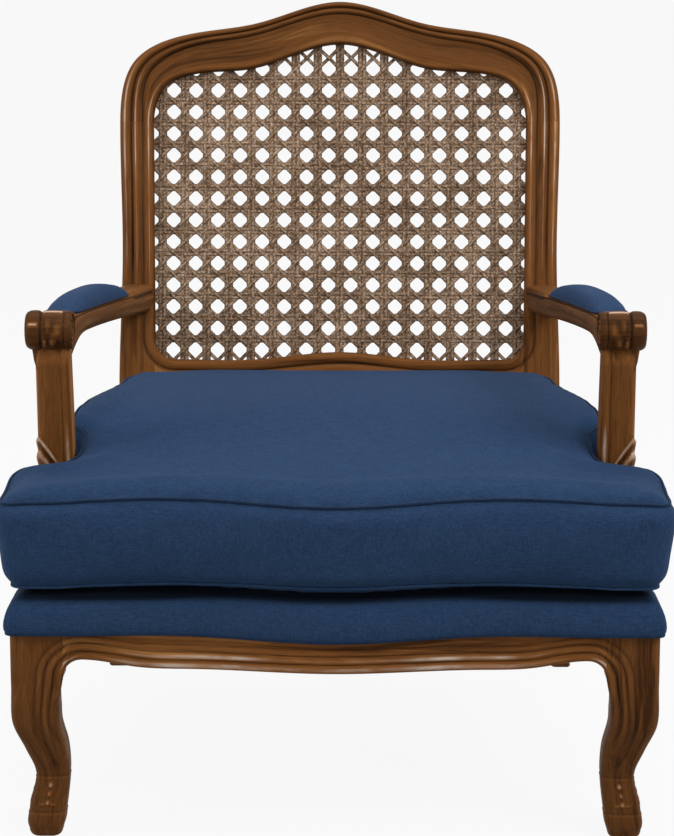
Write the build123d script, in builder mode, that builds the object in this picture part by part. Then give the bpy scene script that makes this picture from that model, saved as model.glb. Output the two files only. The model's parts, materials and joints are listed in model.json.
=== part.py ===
from build123d import *
import os
from math import cos, hypot, pi, radians, sin, tan

os.makedirs("parts", exist_ok=True)

# A carved armchair with a caned back and a loose seat cushion.
# Millimetres, +Z up, -Y is the front, the floor is Z = 0 and X = 0 is the plane of symmetry.

# Driving dimensions: seat frame
seat_width = 734.0
seat_depth = 560.0
front_bow = 27.0
front_hollow = 2.0
bow_quarter = 165.0
rail_top = 262.0
rail_low = 216.0
apron_dip = 3.0
apron_lift = 3.0
bracket_radius = 28.0
front_rail_thickness = 30.0
side_rail_thickness = 46.0
side_rail_setback = 2.0
rear_rail_thickness = 30.0
rear_rail_setback = 4.0

# Driving dimensions: front legs
leg_block = 58.0
leg_block_corner = 6.0
knee_top = 184.0
knee_height = 140.0
knee_size = 57.0
calf_height = 106.0
calf_size = 50.0
calf_set_in = 8.0
ankle_height = 74.0
ankle_size = 40.0
ankle_set_in = 12.0
foot_height = 36.0
foot_size = 43.0
foot_set_in = 5.0
toe_height = 9.0
toe_size = 39.0
toe_set_in = 2.0
sole_size = 28.0
leg_roundness = 0.3

# Driving dimensions: back frame, measured up the raked plane from the bend
back_width = 604.0
back_rake = 12.5
bend_height = 430.0
back_thickness = 36.0
stile_width = 49.0
stile_top_width = 46.0
stile_waist = 4.0
waist_height = 180.0
joint_height = 360.0
crest_height = 524.0
swell_across = 109.0
swell_drop = 30.0
valley_across = 205.0
valley_drop = 45.0
shoulder_in = 21.0
shoulder_drop = 83.0
opening_top = 468.0
opening_swell_across = 55.0
opening_swell_drop = 12.0
opening_valley_across = 123.0
opening_valley_drop = 34.0
opening_shoulder_across = 205.0
opening_shoulder_drop = 42.0
opening_corner_in = 16.0
opening_corner_drop = 59.0
opening_low = 34.0
opening_low_rise = 10.0
opening_corner_radius = 28.0
back_rail_low = -16.0

# Driving dimensions: rear legs
rear_leg_top = 170.0
rear_leg_depth = 38.0
rear_ankle_height = 62.0
rear_ankle_width = 35.0
rear_ankle_out = 10.0
rear_ankle_back = 34.0
rear_foot_width = 30.0
rear_foot_out = 42.0
rear_foot_back = 68.0
foot_kick = 0.3

# Driving dimensions: arms and posts
post_front = 142.0
post_base_size = 44.0
post_top_width = 41.0
post_top_depth = 38.0
post_top_across = 323.0
post_top_front = 96.0
post_top = 566.0
post_lean_curve = 2.4
post_stations = (0, 0.3, 0.62, 1)
post_inner_clear = 3.0
arm_rear_across = 276.0
arm_rear_height = 543.0
arm_front_across = 329.0
arm_front_height = 583.0
arm_front = 114.0
arm_width = 43.0
arm_height = 39.0
arm_slim = 6.0
arm_stations = (0, 0.25, 0.5, 0.75, 1)
scroll_radius = 23.0
scroll_width = 54.0
scroll_edge = 7.0
pad_front = 186.0
pad_rear = 488.0
pad_seat_drop = 7.0
pad_crown = 21.0
pad_end_crown = 9.0
pad_end_narrowing = 10.0
pad_end_share = 0.15

# Driving dimensions: cane
cane_depth = 14.0
cane_thickness = 2.0
cane_pitch_across = 30.5
cane_pitch_up = 29.8
cane_hole = 20.0
cane_hole_sides = 8
cane_columns = 16
cane_rows = 14
cane_first_row = 49.0
cane_edge_margin = 4.0
rabbet_width = 9.0
spline_inner = 2.0
spline_outer = 7.0
spline_thickness = 4.0

# Driving dimensions: joining pieces
dowel_diameter = 8.0
dowel_length = 44.0
post_dowel_diameter = 12.0
post_dowel_length = 48.0
rail_dowel_heights = (230.0, 248.0)
rail_dowel_inset = 15.0
crest_dowel_spread = 20.0
back_rail_dowel_heights = (0.0, 17.0)
block_reach = 62.0
block_low = 222.0
block_high = 254.0
screw_diameter = 4.6
screw_head_diameter = 9.0
screw_head_thickness = 3.5
arm_screw_bite = 34.0
arm_screw_sink = 12.0
plug_length = 7.0
block_screw_bite = 22.0
block_screw_sink = 12.0

# Driving dimensions: springs and deck
spring_across = (-200.0, -100.0, 0.0, 100.0, 200.0)
spring_wire = 3.6
spring_half_width = 21.0
spring_curls = 15
spring_roundness = 0.48
spring_end_inset = 12.0
clip_width = 14.0
clip_metal = 1.2
clip_tail = 8.0
burlap_thickness = 1.4
burlap_inset = 5.0
deck_low = 250.0
deck_high = 300.0
deck_overhang = 7.0
deck_edge_radius = 16.0
cover_thickness = 2.0
dust_cover_thickness = 1.0
dust_cover_lap = 14.0
tack_head = 8.0
tack_head_thickness = 1.0
tack_shank = 1.8
tack_length = 9.0
side_tacks = 4
rear_tacks = 5
rear_tack_span = 354.2

# Driving dimensions: loose cushion
cushion_thickness = 112.0
cushion_width = 760.0
cushion_overhang = 6.0
cushion_ear_depth = 134.0
cushion_back_gap = 12.0
cushion_rear_half = 290.0
cushion_corner = 26.0
cushion_rear_corner = 70.0
cushion_edge_set_in = 9.0
cushion_bulge_height = 56.0
cushion_crown = 40.0
cushion_side_rise = 34.0
cushion_ear_crown = 24.0
cushion_ear_rise = 8.0
cushion_least_crown = 1.0
zip_length = 420.0
zip_tape_width = 26.0
zip_tape_thickness = 1.0
zip_chain_width = 6.0
zip_chain_height = 2.0
slider_length = 12.0
slider_width = 11.0
slider_height = 5.0
slider_pull_length = 22.0
slider_pull_width = 6.0
slider_pull_thickness = 1.4
slider_start = 196.0

# Named clearances
dowel_fit = 0.1
dowel_end_gap = 1.0
screw_fit = 0.15
soft_gap = 0.3
notch_gap = 1.5
slide_gap = 0.25

# Places that follow from the sizes above
rake = radians(back_rake)
half_seat = seat_width / 2
half_back = back_width / 2
stile_inner = half_back - stile_width
depth_behind_bend = crest_height * sin(rake) + back_thickness * cos(rake)
overall_depth = cushion_overhang + front_bow + seat_depth + depth_behind_bend
front_y = cushion_overhang + front_bow - overall_depth / 2
back_y = front_y + seat_depth
rail_end = half_seat - leg_block
block_back_y = front_y + leg_block
rail_back_y = front_y + front_rail_thickness
rear_rail_front_y = back_y + rear_rail_setback
back_plane = Plane((0, back_y, bend_height), x_dir=(1, 0, 0), z_dir=(0, -cos(rake), sin(rake)))
reach = 2 * overall_depth


def side_rail_outer(y):
    """Half width of the seat over the side rail at a depth."""
    front_half = half_seat - side_rail_setback
    rear_half = half_back - side_rail_setback
    return front_half + (rear_half - front_half) * (y - block_back_y) / (back_y - block_back_y)


def side_rail_inner(y):
    return side_rail_outer(y) - side_rail_thickness


def side_rail_middle(y):
    return side_rail_outer(y) - side_rail_thickness / 2


def mirrored(points):
    """Points of a right half, from the side to the middle, carried on to the left side."""
    left = [(-x, y) for x, y in reversed(points[:-1])]
    return list(points) + left


def smooth(points, start, end):
    """Curve through points with the given directions at its ends."""
    return Spline(*points, tangents=(start, end), tangent_scalars=(1, 1))


def grown(points, start, end, amount):
    """Points of a curve moved sideways off it by an amount."""
    moved = []
    for index, (x, y) in enumerate(points):
        before = points[max(index - 1, 0)]
        after = points[min(index + 1, len(points) - 1)]
        way = (after[0] - before[0], after[1] - before[1])
        if index == 0:
            way = start
        if index == len(points) - 1:
            way = end
        length = hypot(*way)
        moved.append((x + amount * way[1] / length, y - amount * way[0] / length))
    return moved


def front_curve(half_width, forward):
    """Serpentine front line in plan, bowed forward in the middle."""
    points = ((half_width, front_y - forward),
              (bow_quarter, front_y + front_hollow - forward),
              (0, front_y - front_bow - forward))
    return smooth(mirrored(points), (-1, 0), (-1, 0))


def bore(places, diameter, length):
    """Bores centred on joints, cut from the part being built."""
    with Locations(*places):
        Cylinder(diameter / 2 + dowel_fit, length + 2 * dowel_end_gap, mode=Mode.SUBTRACT)


def pins(places, diameter, length):
    """Round dowels centred on joints, as one group of solids."""
    with BuildPart() as group:
        with Locations(*places):
            Cylinder(diameter / 2, length)
    return group.part


def on_back(across, up, behind, axis):
    """A place on the raked back with the given axis in the back's own directions."""
    origin = back_plane.from_local_coords(Vector(across, up, -behind))
    tip = back_plane.from_local_coords(Vector(across, up, -behind) + Vector(*axis))
    return Plane(origin, z_dir=tip - origin)


def save(part, name):
    part.label = name
    export_step(part, f"parts/{name}.step")


# Places of the dowels, each centred on its joint
sides = ((-1, "left"), (1, "right"))
front_dowels = {}
side_front_dowels = {}
side_rear_dowels = {}
rear_dowels = {}
crest_dowels = {}
back_rail_dowels = {}
for side, hand in sides:
    side_front_x = side * (half_seat - rail_dowel_inset)
    side_rear_x = side * (half_back - rail_dowel_inset)
    front_dowels[hand] = [
        Plane((side * rail_end, front_y + rail_dowel_inset, height), z_dir=(side, 0, 0))
        for height in rail_dowel_heights]
    side_front_dowels[hand] = [
        Plane((side_front_x, block_back_y, height), z_dir=(0, 1, 0)) for height in rail_dowel_heights]
    side_rear_dowels[hand] = [
        Plane((side_rear_x, back_y, height), z_dir=(0, 1, 0)) for height in rail_dowel_heights]
    rear_dowels[hand] = [
        Plane((side * stile_inner, rear_rail_front_y + rear_rail_thickness / 2, height), z_dir=(side, 0, 0))
        for height in rail_dowel_heights]
    crest_middle = half_back - stile_top_width / 2
    crest_dowels[hand] = [
        on_back(side * (crest_middle + shift), joint_height, back_thickness / 2, (0, 1, 0))
        for shift in (-crest_dowel_spread / 2, crest_dowel_spread / 2)]
    back_rail_dowels[hand] = [
        on_back(side * stile_inner, height, back_thickness / 2, (side, 0, 0))
        for height in back_rail_dowel_heights]

# Places of the arm posts
post_middle_y = front_y + post_front + post_base_size / 2
post_middle_x = side_rail_middle(post_middle_y)
post_foot = {hand: Plane((side * post_middle_x, post_middle_y, rail_top)) for side, hand in sides}
post_head_y = front_y + post_top_front + post_top_depth / 2
post_head = {hand: Plane((side * post_top_across, post_head_y, post_top)) for side, hand in sides}

# Places of the screws: the shank starts under the head and runs along the axis
arm_screw_up = (arm_rear_height - bend_height) / cos(rake)
arm_screw_shank = back_thickness - arm_screw_sink + arm_screw_bite
arm_screw = {}
block_screw = {}
for side, hand in sides:
    head_depth = back_thickness - arm_screw_sink
    arm_screw[hand] = on_back(side * arm_rear_across, arm_screw_up, head_depth, (0, 0, 1))
    front_corner = Vector(side * rail_end, block_back_y, (block_low + block_high) / 2)
    rear_x = side * (stile_inner - block_reach / 2)
    rear_corner = Vector(rear_x, rear_rail_front_y, (block_low + block_high) / 2)
    forward = Vector(side, -1, 0).normalized()
    backward = Vector(0, 1, 0)
    block_screw[hand] = [Plane(front_corner - forward * block_screw_sink, z_dir=forward),
                         Plane(rear_corner - backward * block_screw_sink, z_dir=backward)]
block_screw_shank = block_screw_sink + block_screw_bite


def screw_holes(places, shank, head_room):
    """Shank bores with a flat-bottomed recess for the head, cut from the part being built."""
    with Locations(*places):
        Cylinder(screw_diameter / 2 + screw_fit, shank + dowel_end_gap,
                 align=(Align.CENTER, Align.CENTER, Align.MIN), mode=Mode.SUBTRACT)
        Cylinder(screw_head_diameter / 2 + screw_fit, head_room,
                 align=(Align.CENTER, Align.CENTER, Align.MAX), mode=Mode.SUBTRACT)


def screws(places, shank):
    """Round-headed screws, as one group of solids."""
    with BuildPart() as group:
        with Locations(*places):
            Cylinder(screw_diameter / 2, shank, align=(Align.CENTER, Align.CENTER, Align.MIN))
            Cylinder(screw_head_diameter / 2, screw_head_thickness,
                     align=(Align.CENTER, Align.CENTER, Align.MAX))
    return group.part


# Front legs: rounded sections stepping in to the ankle and out to the toe along the diagonal
leg_stations = ((knee_top, leg_block, 0),
                (knee_height, knee_size, 0),
                (calf_height, calf_size, calf_set_in),
                (ankle_height, ankle_size, ankle_set_in),
                (foot_height, foot_size, foot_set_in),
                (toe_height, toe_size, toe_set_in),
                (0, sole_size, toe_set_in))
for side, hand in sides:
    leg_x = side * (half_seat - leg_block / 2)
    leg_y = front_y + leg_block / 2
    with BuildPart() as front_leg:
        for height, size, set_in in leg_stations:
            corner = leg_block_corner if height == knee_top else size * leg_roundness
            with BuildSketch(Plane.XY.offset(height)):
                with Locations((leg_x - side * set_in, leg_y + set_in)):
                    RectangleRounded(size, size, corner)
        loft()
        with BuildSketch(Plane.XY.offset(knee_top)):
            with Locations((leg_x, leg_y)):
                RectangleRounded(leg_block, leg_block, leg_block_corner)
        extrude(amount=rail_top - knee_top)
        bore(front_dowels[hand] + side_front_dowels[hand], dowel_diameter, dowel_length)
        screw_holes(block_screw[hand][:1], block_screw_shank, block_screw_sink)
    save(front_leg.part, f"front_leg_{hand}")

# Front seat rail: serpentine in plan, its lower edge bracketed into the legs
apron_end = rail_low + apron_lift
bracket_low = apron_end - bracket_radius
with BuildPart() as front_rail:
    with BuildSketch(Plane.XY.offset(bracket_low)):
        with BuildLine():
            front_curve(rail_end, 0)
            Polyline((-rail_end, front_y), (-rail_end, rail_back_y), (rail_end, rail_back_y),
                     (rail_end, front_y))
        make_face()
    extrude(amount=rail_top - bracket_low)
    with BuildSketch(Plane.XZ):
        with BuildLine():
            bracket_end = rail_end - bracket_radius
            Line((-rail_end, rail_top), (rail_end, rail_top))
            Line((rail_end, rail_top), (rail_end, bracket_low))
            TangentArc((rail_end, bracket_low), (bracket_end, apron_end), tangent=(0, 1))
            edge = ((bracket_end, apron_end), (bow_quarter, rail_low), (0, rail_low - apron_dip))
            smooth(mirrored(edge), (-1, 0), (-1, 0))
            TangentArc((-rail_end, bracket_low), (-bracket_end, apron_end), tangent=(0, 1))
            Line((-rail_end, bracket_low), (-rail_end, rail_top))
        make_face()
    extrude(amount=reach, both=True, mode=Mode.INTERSECT)
    bore(front_dowels["left"] + front_dowels["right"], dowel_diameter, dowel_length)
save(front_rail.part, "front_seat_rail")

# Tacks of the dust cover, along the side rails and the rear rail
tack_low = rail_low - dust_cover_thickness
tack_places = []
for side, hand in sides:
    for tack in range(side_tacks):
        tack_y = block_back_y + (tack + 1) / (side_tacks + 1) * (back_y - block_back_y)
        tack_places.append(Plane((side * (side_rail_inner(tack_y) + dust_cover_lap / 2), tack_y, tack_low)))
for tack in range(rear_tacks):
    tack_x = rear_tack_span * (tack / (rear_tacks - 1) - 0.5)
    tack_places.append(Plane((tack_x, rear_rail_front_y + dust_cover_lap / 2, tack_low)))


def tack_bores():
    with Locations(*tack_places):
        Cylinder(tack_shank / 2 + screw_fit, tack_length + dowel_end_gap,
                 align=(Align.CENTER, Align.CENTER, Align.MIN), mode=Mode.SUBTRACT)


# Side seat rails
for side, hand in sides:
    with BuildPart() as side_rail:
        with BuildSketch(Plane.XY.offset(bracket_low)):
            with BuildLine():
                Polyline((side * side_rail_outer(block_back_y), block_back_y),
                         (side * side_rail_outer(back_y), back_y),
                         (side * side_rail_inner(back_y), back_y),
                         (side * side_rail_inner(block_back_y), block_back_y), close=True)
            make_face()
        extrude(amount=rail_top - bracket_low)
        with BuildSketch(Plane.YZ):
            with BuildLine():
                bracket_top = bracket_low + bracket_radius
                Polyline((block_back_y, bracket_low), (block_back_y, rail_top), (back_y, rail_top),
                         (back_y, bracket_low))
                TangentArc((back_y, bracket_low), (back_y - bracket_radius, bracket_top), tangent=(0, 1))
                Polyline((back_y - bracket_radius, bracket_top),
                         (back_y - bracket_radius - apron_lift, rail_low),
                         (block_back_y + bracket_radius + apron_lift, rail_low),
                         (block_back_y + bracket_radius, bracket_top))
                TangentArc((block_back_y, bracket_low), (block_back_y + bracket_radius, bracket_top),
                           tangent=(0, 1))
            make_face()
        extrude(amount=reach, both=True, mode=Mode.INTERSECT)
        bore(side_front_dowels[hand] + side_rear_dowels[hand], dowel_diameter, dowel_length)
        bore([post_foot[hand]], post_dowel_diameter, post_dowel_length)
        tack_bores()
    save(side_rail.part, f"side_seat_rail_{hand}")

# Rear seat rail
with BuildPart() as rear_rail:
    with BuildSketch(Plane.XY.offset(rail_low)):
        with Locations((0, rear_rail_front_y + rear_rail_thickness / 2)):
            Rectangle(2 * stile_inner, rear_rail_thickness)
    extrude(amount=rail_top - rail_low)
    bore(rear_dowels["left"] + rear_dowels["right"], dowel_diameter, dowel_length)
    screw_holes([block_screw["left"][1], block_screw["right"][1]], block_screw_shank, block_screw_sink)
    tack_bores()
save(rear_rail.part, "rear_seat_rail")


def opening_outline(grow):
    """Outline of the caned opening in the raked plane, grown evenly."""
    top_x = half_back - stile_top_width + grow
    side_x = stile_inner + grow
    corner_top = opening_low + opening_corner_radius
    corner_end = stile_inner - opening_corner_radius
    low = opening_low - grow
    low_edge = ((corner_end, opening_low), (corner_end / 2, opening_low), (0, opening_low + opening_low_rise))
    smooth(grown(opening_arch(), (0, 1), (0, -1), grow), (0, 1), (0, -1))
    smooth(grown(mirrored(low_edge), (-1, 0), (-1, 0), -grow), (-1, 0), (-1, 0))
    for side in (-1, 1):
        Line((side * top_x, joint_height), (side * side_x, corner_top))
        TangentArc((side * side_x, corner_top), (side * corner_end, low), tangent=(0, -1))


def opening_arch():
    top_x = half_back - stile_top_width
    return mirrored(((top_x, joint_height),
                     (top_x - opening_corner_in, opening_top - opening_corner_drop),
                     (opening_shoulder_across, opening_top - opening_shoulder_drop),
                     (opening_valley_across, opening_top - opening_valley_drop),
                     (opening_swell_across, opening_top - opening_swell_drop),
                     (0, opening_top)))


def rabbet():
    """Ledge for the cane behind the opening's edge, cut from the part being built."""
    with BuildSketch(back_plane.offset(-cane_depth)) as ledge:
        with BuildLine():
            opening_outline(rabbet_width)
        make_face()
    extrude(ledge.sketch, amount=-back_thickness, mode=Mode.SUBTRACT)


# Crest rail: carved top with shoulders
with BuildPart() as crest:
    with BuildSketch(back_plane):
        with BuildLine():
            crest_line = mirrored(((half_back, joint_height),
                                   (half_back - shoulder_in, crest_height - shoulder_drop),
                                   (valley_across, crest_height - valley_drop),
                                   (swell_across, crest_height - swell_drop),
                                   (0, crest_height)))
            smooth(crest_line, (0, 1), (0, -1))
            smooth(opening_arch(), (0, 1), (0, -1))
            Line((half_back, joint_height), (half_back - stile_top_width, joint_height))
            Line((-half_back, joint_height), (stile_top_width - half_back, joint_height))
        make_face()
    extrude(amount=-back_thickness)
    rabbet()
    bore(crest_dowels["left"] + crest_dowels["right"], dowel_diameter, dowel_length)
save(crest.part, "crest_rail")

# Lower back rail
with BuildPart() as lower_back_rail:
    with BuildSketch(back_plane):
        with Locations((0, back_rail_low)):
            Rectangle(2 * stile_inner, opening_low + opening_corner_radius - back_rail_low,
                      align=(Align.CENTER, Align.MIN))
        with BuildLine():
            opening_outline(0)
        make_face(mode=Mode.SUBTRACT)
    extrude(amount=-back_thickness)
    rabbet()
    bore(back_rail_dowels["left"] + back_rail_dowels["right"], dowel_diameter, dowel_length)
save(lower_back_rail.part, "lower_back_rail")

# Back stiles: raked upright above the bend, rear leg below it
for side, hand in sides:
    with BuildPart() as stile:
        with BuildSketch(Plane.XZ):
            with BuildLine():
                leg_middle = half_back - stile_width / 2
                ankle_middle = leg_middle + rear_ankle_out
                foot_middle = leg_middle + rear_foot_out
                outer = ((side * half_back, rear_leg_top),
                         (side * (ankle_middle + rear_ankle_width / 2), rear_ankle_height),
                         (side * (foot_middle + rear_foot_width / 2), 0))
                inner = ((side * stile_inner, rear_leg_top),
                         (side * (ankle_middle - rear_ankle_width / 2), rear_ankle_height),
                         (side * (foot_middle - rear_foot_width / 2), 0))
                smooth(outer, (0, -1), (side * foot_kick, -1))
                smooth(inner, (0, -1), (side * foot_kick, -1))
                Line(outer[-1], inner[-1])
                Polyline(outer[0], (outer[0][0], bend_height), (inner[0][0], bend_height), inner[0])
            make_face()
        extrude(amount=reach, both=True)
        with BuildSketch(Plane.YZ):
            with BuildLine():
                front_edge = ((back_y, rear_leg_top),
                              (back_y + rear_ankle_back, rear_ankle_height),
                              (back_y + rear_foot_back, 0))
                rear_edge = ((back_y + rear_leg_depth, rear_leg_top),
                             (back_y + rear_ankle_back + rear_ankle_width, rear_ankle_height),
                             (back_y + rear_foot_back + rear_foot_width, 0))
                smooth(front_edge, (0, -1), (foot_kick, -1))
                smooth(rear_edge, (0, -1), (foot_kick, -1))
                Line(front_edge[-1], rear_edge[-1])
                bend_rear = (back_y + back_thickness * cos(rake), bend_height - back_thickness * sin(rake))
                Polyline(front_edge[0], (back_y, bend_height), bend_rear, rear_edge[0])
            make_face()
        extrude(amount=reach, both=True, mode=Mode.INTERSECT)
        with BuildSketch(back_plane):
            with BuildLine():
                outer_low = (side * half_back, 0)
                outer_waist = (side * (half_back - stile_waist), waist_height)
                outer_top = (side * half_back, joint_height)
                inner_top = (side * (half_back - stile_top_width), joint_height)
                inner_low = (side * stile_inner, 0)
                inner_corner = (side * stile_inner, opening_low + opening_corner_radius)
                smooth((outer_low, outer_waist, outer_top), (0, 1), (0, 1))
                Polyline(outer_top, inner_top, inner_corner, inner_low, outer_low)
            make_face()
        extrude(amount=-back_thickness)
        rabbet()
        bore(crest_dowels[hand] + back_rail_dowels[hand], dowel_diameter, dowel_length)
        bore(side_rear_dowels[hand] + rear_dowels[hand], dowel_diameter, dowel_length)
        screw_holes([arm_screw[hand]], arm_screw_shank, arm_screw_sink)
    save(stile.part, f"back_stile_{hand}")

# Arm posts: leaning forward and inward to the scroll
for side, hand in sides:
    with BuildPart() as post:
        for share in post_stations:
            lean = share ** post_lean_curve
            width = post_base_size + (post_top_width - post_base_size) * share
            depth = post_base_size + (post_top_depth - post_base_size) * share
            middle_x = post_middle_x + (post_top_across - post_middle_x) * lean
            middle_y = post_middle_y + (post_head_y - post_middle_y) * lean
            with BuildSketch(Plane.XY.offset(rail_top + (post_top - rail_top) * share)):
                with Locations((side * middle_x, middle_y)):
                    RectangleRounded(width, depth, width * leg_roundness)
        loft()
        bore([post_foot[hand], post_head[hand]], post_dowel_diameter, post_dowel_length)
    save(post.part, f"arm_post_{hand}")

# Arms: swept from the stile forward and outward to a scroll
arm_front_y = front_y + arm_front
arm_rear_y = back_y + (arm_rear_height + arm_height - bend_height) * tan(rake)


def arm_share(y):
    return (arm_rear_y - y) / (arm_rear_y - arm_front_y)


def arm_across(y):
    return arm_rear_across + (arm_front_across - arm_rear_across) * sin(pi / 2 * arm_share(y))


def arm_middle(y):
    return arm_rear_height + (arm_front_height - arm_rear_height) * arm_share(y)


pad_front_y = front_y + pad_front
pad_rear_y = front_y + pad_rear


def pad_seat(y):
    """Height of the flat under the arm pad, straight from end to end."""
    ends = (arm_middle(pad_front_y), arm_middle(pad_rear_y))
    share = (y - pad_front_y) / (pad_rear_y - pad_front_y)
    return ends[0] + (ends[1] - ends[0]) * share + arm_height / 2 - pad_seat_drop


for side, hand in sides:
    with BuildPart() as arm:
        with Locations(Plane((side * arm_front_across, arm_front_y, arm_front_height), z_dir=(1, 0, 0))):
            Cylinder(scroll_radius, scroll_width)
        fillet(arm.edges().filter_by(GeomType.CIRCLE), scroll_edge)
        for share in arm_stations:
            station_y = arm_rear_y + (arm_front_y - arm_rear_y) * share
            tall = arm_height - arm_slim * sin(pi * share)
            with BuildSketch(Plane.XZ.offset(-station_y)):
                with Locations((side * arm_across(station_y), arm_middle(station_y))):
                    RectangleRounded(arm_width, tall, tall * leg_roundness)
        loft()
        with BuildSketch(Plane.YZ):
            with BuildLine():
                clear_height = pad_seat(pad_front_y) + arm_height
                Polyline((pad_front_y, pad_seat(pad_front_y)), (pad_rear_y, pad_seat(pad_rear_y)),
                         (pad_rear_y, clear_height), (pad_front_y, clear_height), close=True)
            make_face()
        extrude(amount=reach, both=True, mode=Mode.SUBTRACT)
        with BuildSketch(Plane.XY.offset(post_top)):
            with Locations((side * post_top_across, post_head_y)):
                Rectangle(arm_width + scroll_width, post_top_depth + scroll_radius)
        extrude(amount=-arm_height, mode=Mode.SUBTRACT)
        split(bisect_by=back_plane, keep=Keep.TOP)
        bore([post_head[hand]], post_dowel_diameter, post_dowel_length)
        screw_holes([arm_screw[hand]], arm_screw_shank, arm_screw_sink)
    save(arm.part, f"arm_{hand}")


def arm_pad(side, skin):
    """Crowned pad on the flat of the arm, made smaller by the skin."""
    with BuildPart() as pad:
        for share, end in ((0, 1), (pad_end_share, 0), (0.5, 0), (1 - pad_end_share, 0), (1, 1)):
            first_y = pad_front_y + slide_gap + skin
            last_y = pad_rear_y - slide_gap - skin
            station_y = first_y + (last_y - first_y) * share
            half_width = (arm_width - pad_end_narrowing * end) / 2 - skin
            crown = pad_crown + (pad_end_crown - pad_crown) * end - skin
            middle_x = side * arm_across(station_y)
            base = pad_seat(station_y)
            with BuildSketch(Plane.XZ.offset(-station_y)):
                with BuildLine():
                    Line((middle_x - half_width, base), (middle_x + half_width, base))
                    ThreePointArc((middle_x + half_width, base), (middle_x, base + crown),
                                  (middle_x - half_width, base))
                make_face()
        loft()
    return pad.part


# Arm pads: foam with a cover over it
for side, hand in sides:
    with BuildPart() as pad_foam:
        add(arm_pad(side, cover_thickness))
    save(pad_foam.part, f"arm_pad_foam_{hand}")
    with BuildPart() as pad_cover:
        add(arm_pad(side, 0))
        add(arm_pad(side, cover_thickness), mode=Mode.SUBTRACT)
    save(pad_cover.part, f"arm_pad_cover_{hand}")

# Corner blocks in the four inner corners of the seat frame
with BuildPart() as corner_blocks:
    for side, hand in sides:
        front_reach_y = block_back_y + block_reach
        rear_reach_y = back_y - block_reach
        front_block = ((side * (rail_end - block_reach), rail_back_y), (side * rail_end, rail_back_y),
                       (side * rail_end, block_back_y), (side * side_rail_inner(block_back_y), block_back_y),
                       (side * side_rail_inner(front_reach_y), front_reach_y))
        rear_block = ((side * (stile_inner - block_reach), rear_rail_front_y),
                      (side * stile_inner, rear_rail_front_y),
                      (side * stile_inner, back_y), (side * side_rail_inner(back_y), back_y),
                      (side * side_rail_inner(rear_reach_y), rear_reach_y))
        for corners in (front_block, rear_block):
            with BuildSketch(Plane.XY.offset(block_low)):
                with BuildLine():
                    Polyline(*corners, close=True)
                make_face()
            extrude(amount=block_high - block_low)
    screw_holes(block_screw["left"] + block_screw["right"], block_screw_shank, block_reach)
save(corner_blocks.part, "corner_blocks")

# Joining pieces
seat_dowels = []
back_dowels = []
for side, hand in sides:
    seat_dowels += front_dowels[hand] + side_front_dowels[hand] + side_rear_dowels[hand] + rear_dowels[hand]
    back_dowels += crest_dowels[hand] + back_rail_dowels[hand]
save(pins(seat_dowels, dowel_diameter, dowel_length), "seat_rail_dowels")
save(pins(back_dowels, dowel_diameter, dowel_length), "back_frame_dowels")
save(pins(list(post_foot.values()) + list(post_head.values()), post_dowel_diameter, post_dowel_length),
     "arm_post_dowels")
save(screws(arm_screw.values(), arm_screw_shank), "arm_screws")
save(screws(block_screw["left"] + block_screw["right"], block_screw_shank), "corner_block_screws")

# Plugs over the heads of the arm screws, flush with the back of the stiles
with BuildPart() as plugs:
    with Locations(*[place.offset(-arm_screw_sink) for place in arm_screw.values()]):
        Cylinder(screw_head_diameter / 2 + screw_fit - dowel_fit, plug_length,
                 align=(Align.CENTER, Align.CENTER, Align.MIN))
save(plugs.part, "arm_screw_plugs")

# Cane panel: one holed face, open where the strands leave eight-sided gaps
def arch_height(across):
    """Height of the opening's arch at a distance from the middle, taken straight between its points."""
    half = opening_arch()[:len(opening_arch()) // 2 + 1]
    for outer, inner in zip(half, half[1:]):
        if inner[0] <= abs(across) <= outer[0]:
            return outer[1] + (inner[1] - outer[1]) * (outer[0] - abs(across)) / (outer[0] - inner[0])
    return 0


hole_places = []
for row in range(cane_rows):
    for column in range(cane_columns):
        across = (column - (cane_columns - 1) / 2) * cane_pitch_across
        up = cane_first_row + row * cane_pitch_up
        room = arch_height(abs(across) + cane_hole / 2) - cane_hole / 2 - cane_edge_margin
        if up < room:
            hole_places.append((across, up))
with BuildPart() as cane_panel:
    with BuildSketch(back_plane.offset(-cane_depth)):
        with BuildLine():
            opening_outline(rabbet_width - slide_gap)
        make_face()
        with Locations(*hole_places):
            RegularPolygon(cane_hole / 2, cane_hole_sides, major_radius=False, rotation=180 / cane_hole_sides,
                           mode=Mode.SUBTRACT)
    extrude(amount=-cane_thickness)
save(cane_panel.part, "cane_panel")

# Spline that holds the cane's edge on the ledge of the rabbet
with BuildPart() as cane_spline:
    with BuildSketch(back_plane.offset(-cane_depth - cane_thickness)):
        with BuildLine():
            opening_outline(spline_outer)
        make_face()
    extrude(amount=-spline_thickness)
    with BuildSketch(back_plane.offset(-cane_depth - cane_thickness)):
        with BuildLine():
            opening_outline(spline_inner)
        make_face()
    extrude(amount=-spline_thickness, mode=Mode.SUBTRACT)
save(cane_spline.part, "cane_spline")

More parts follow.
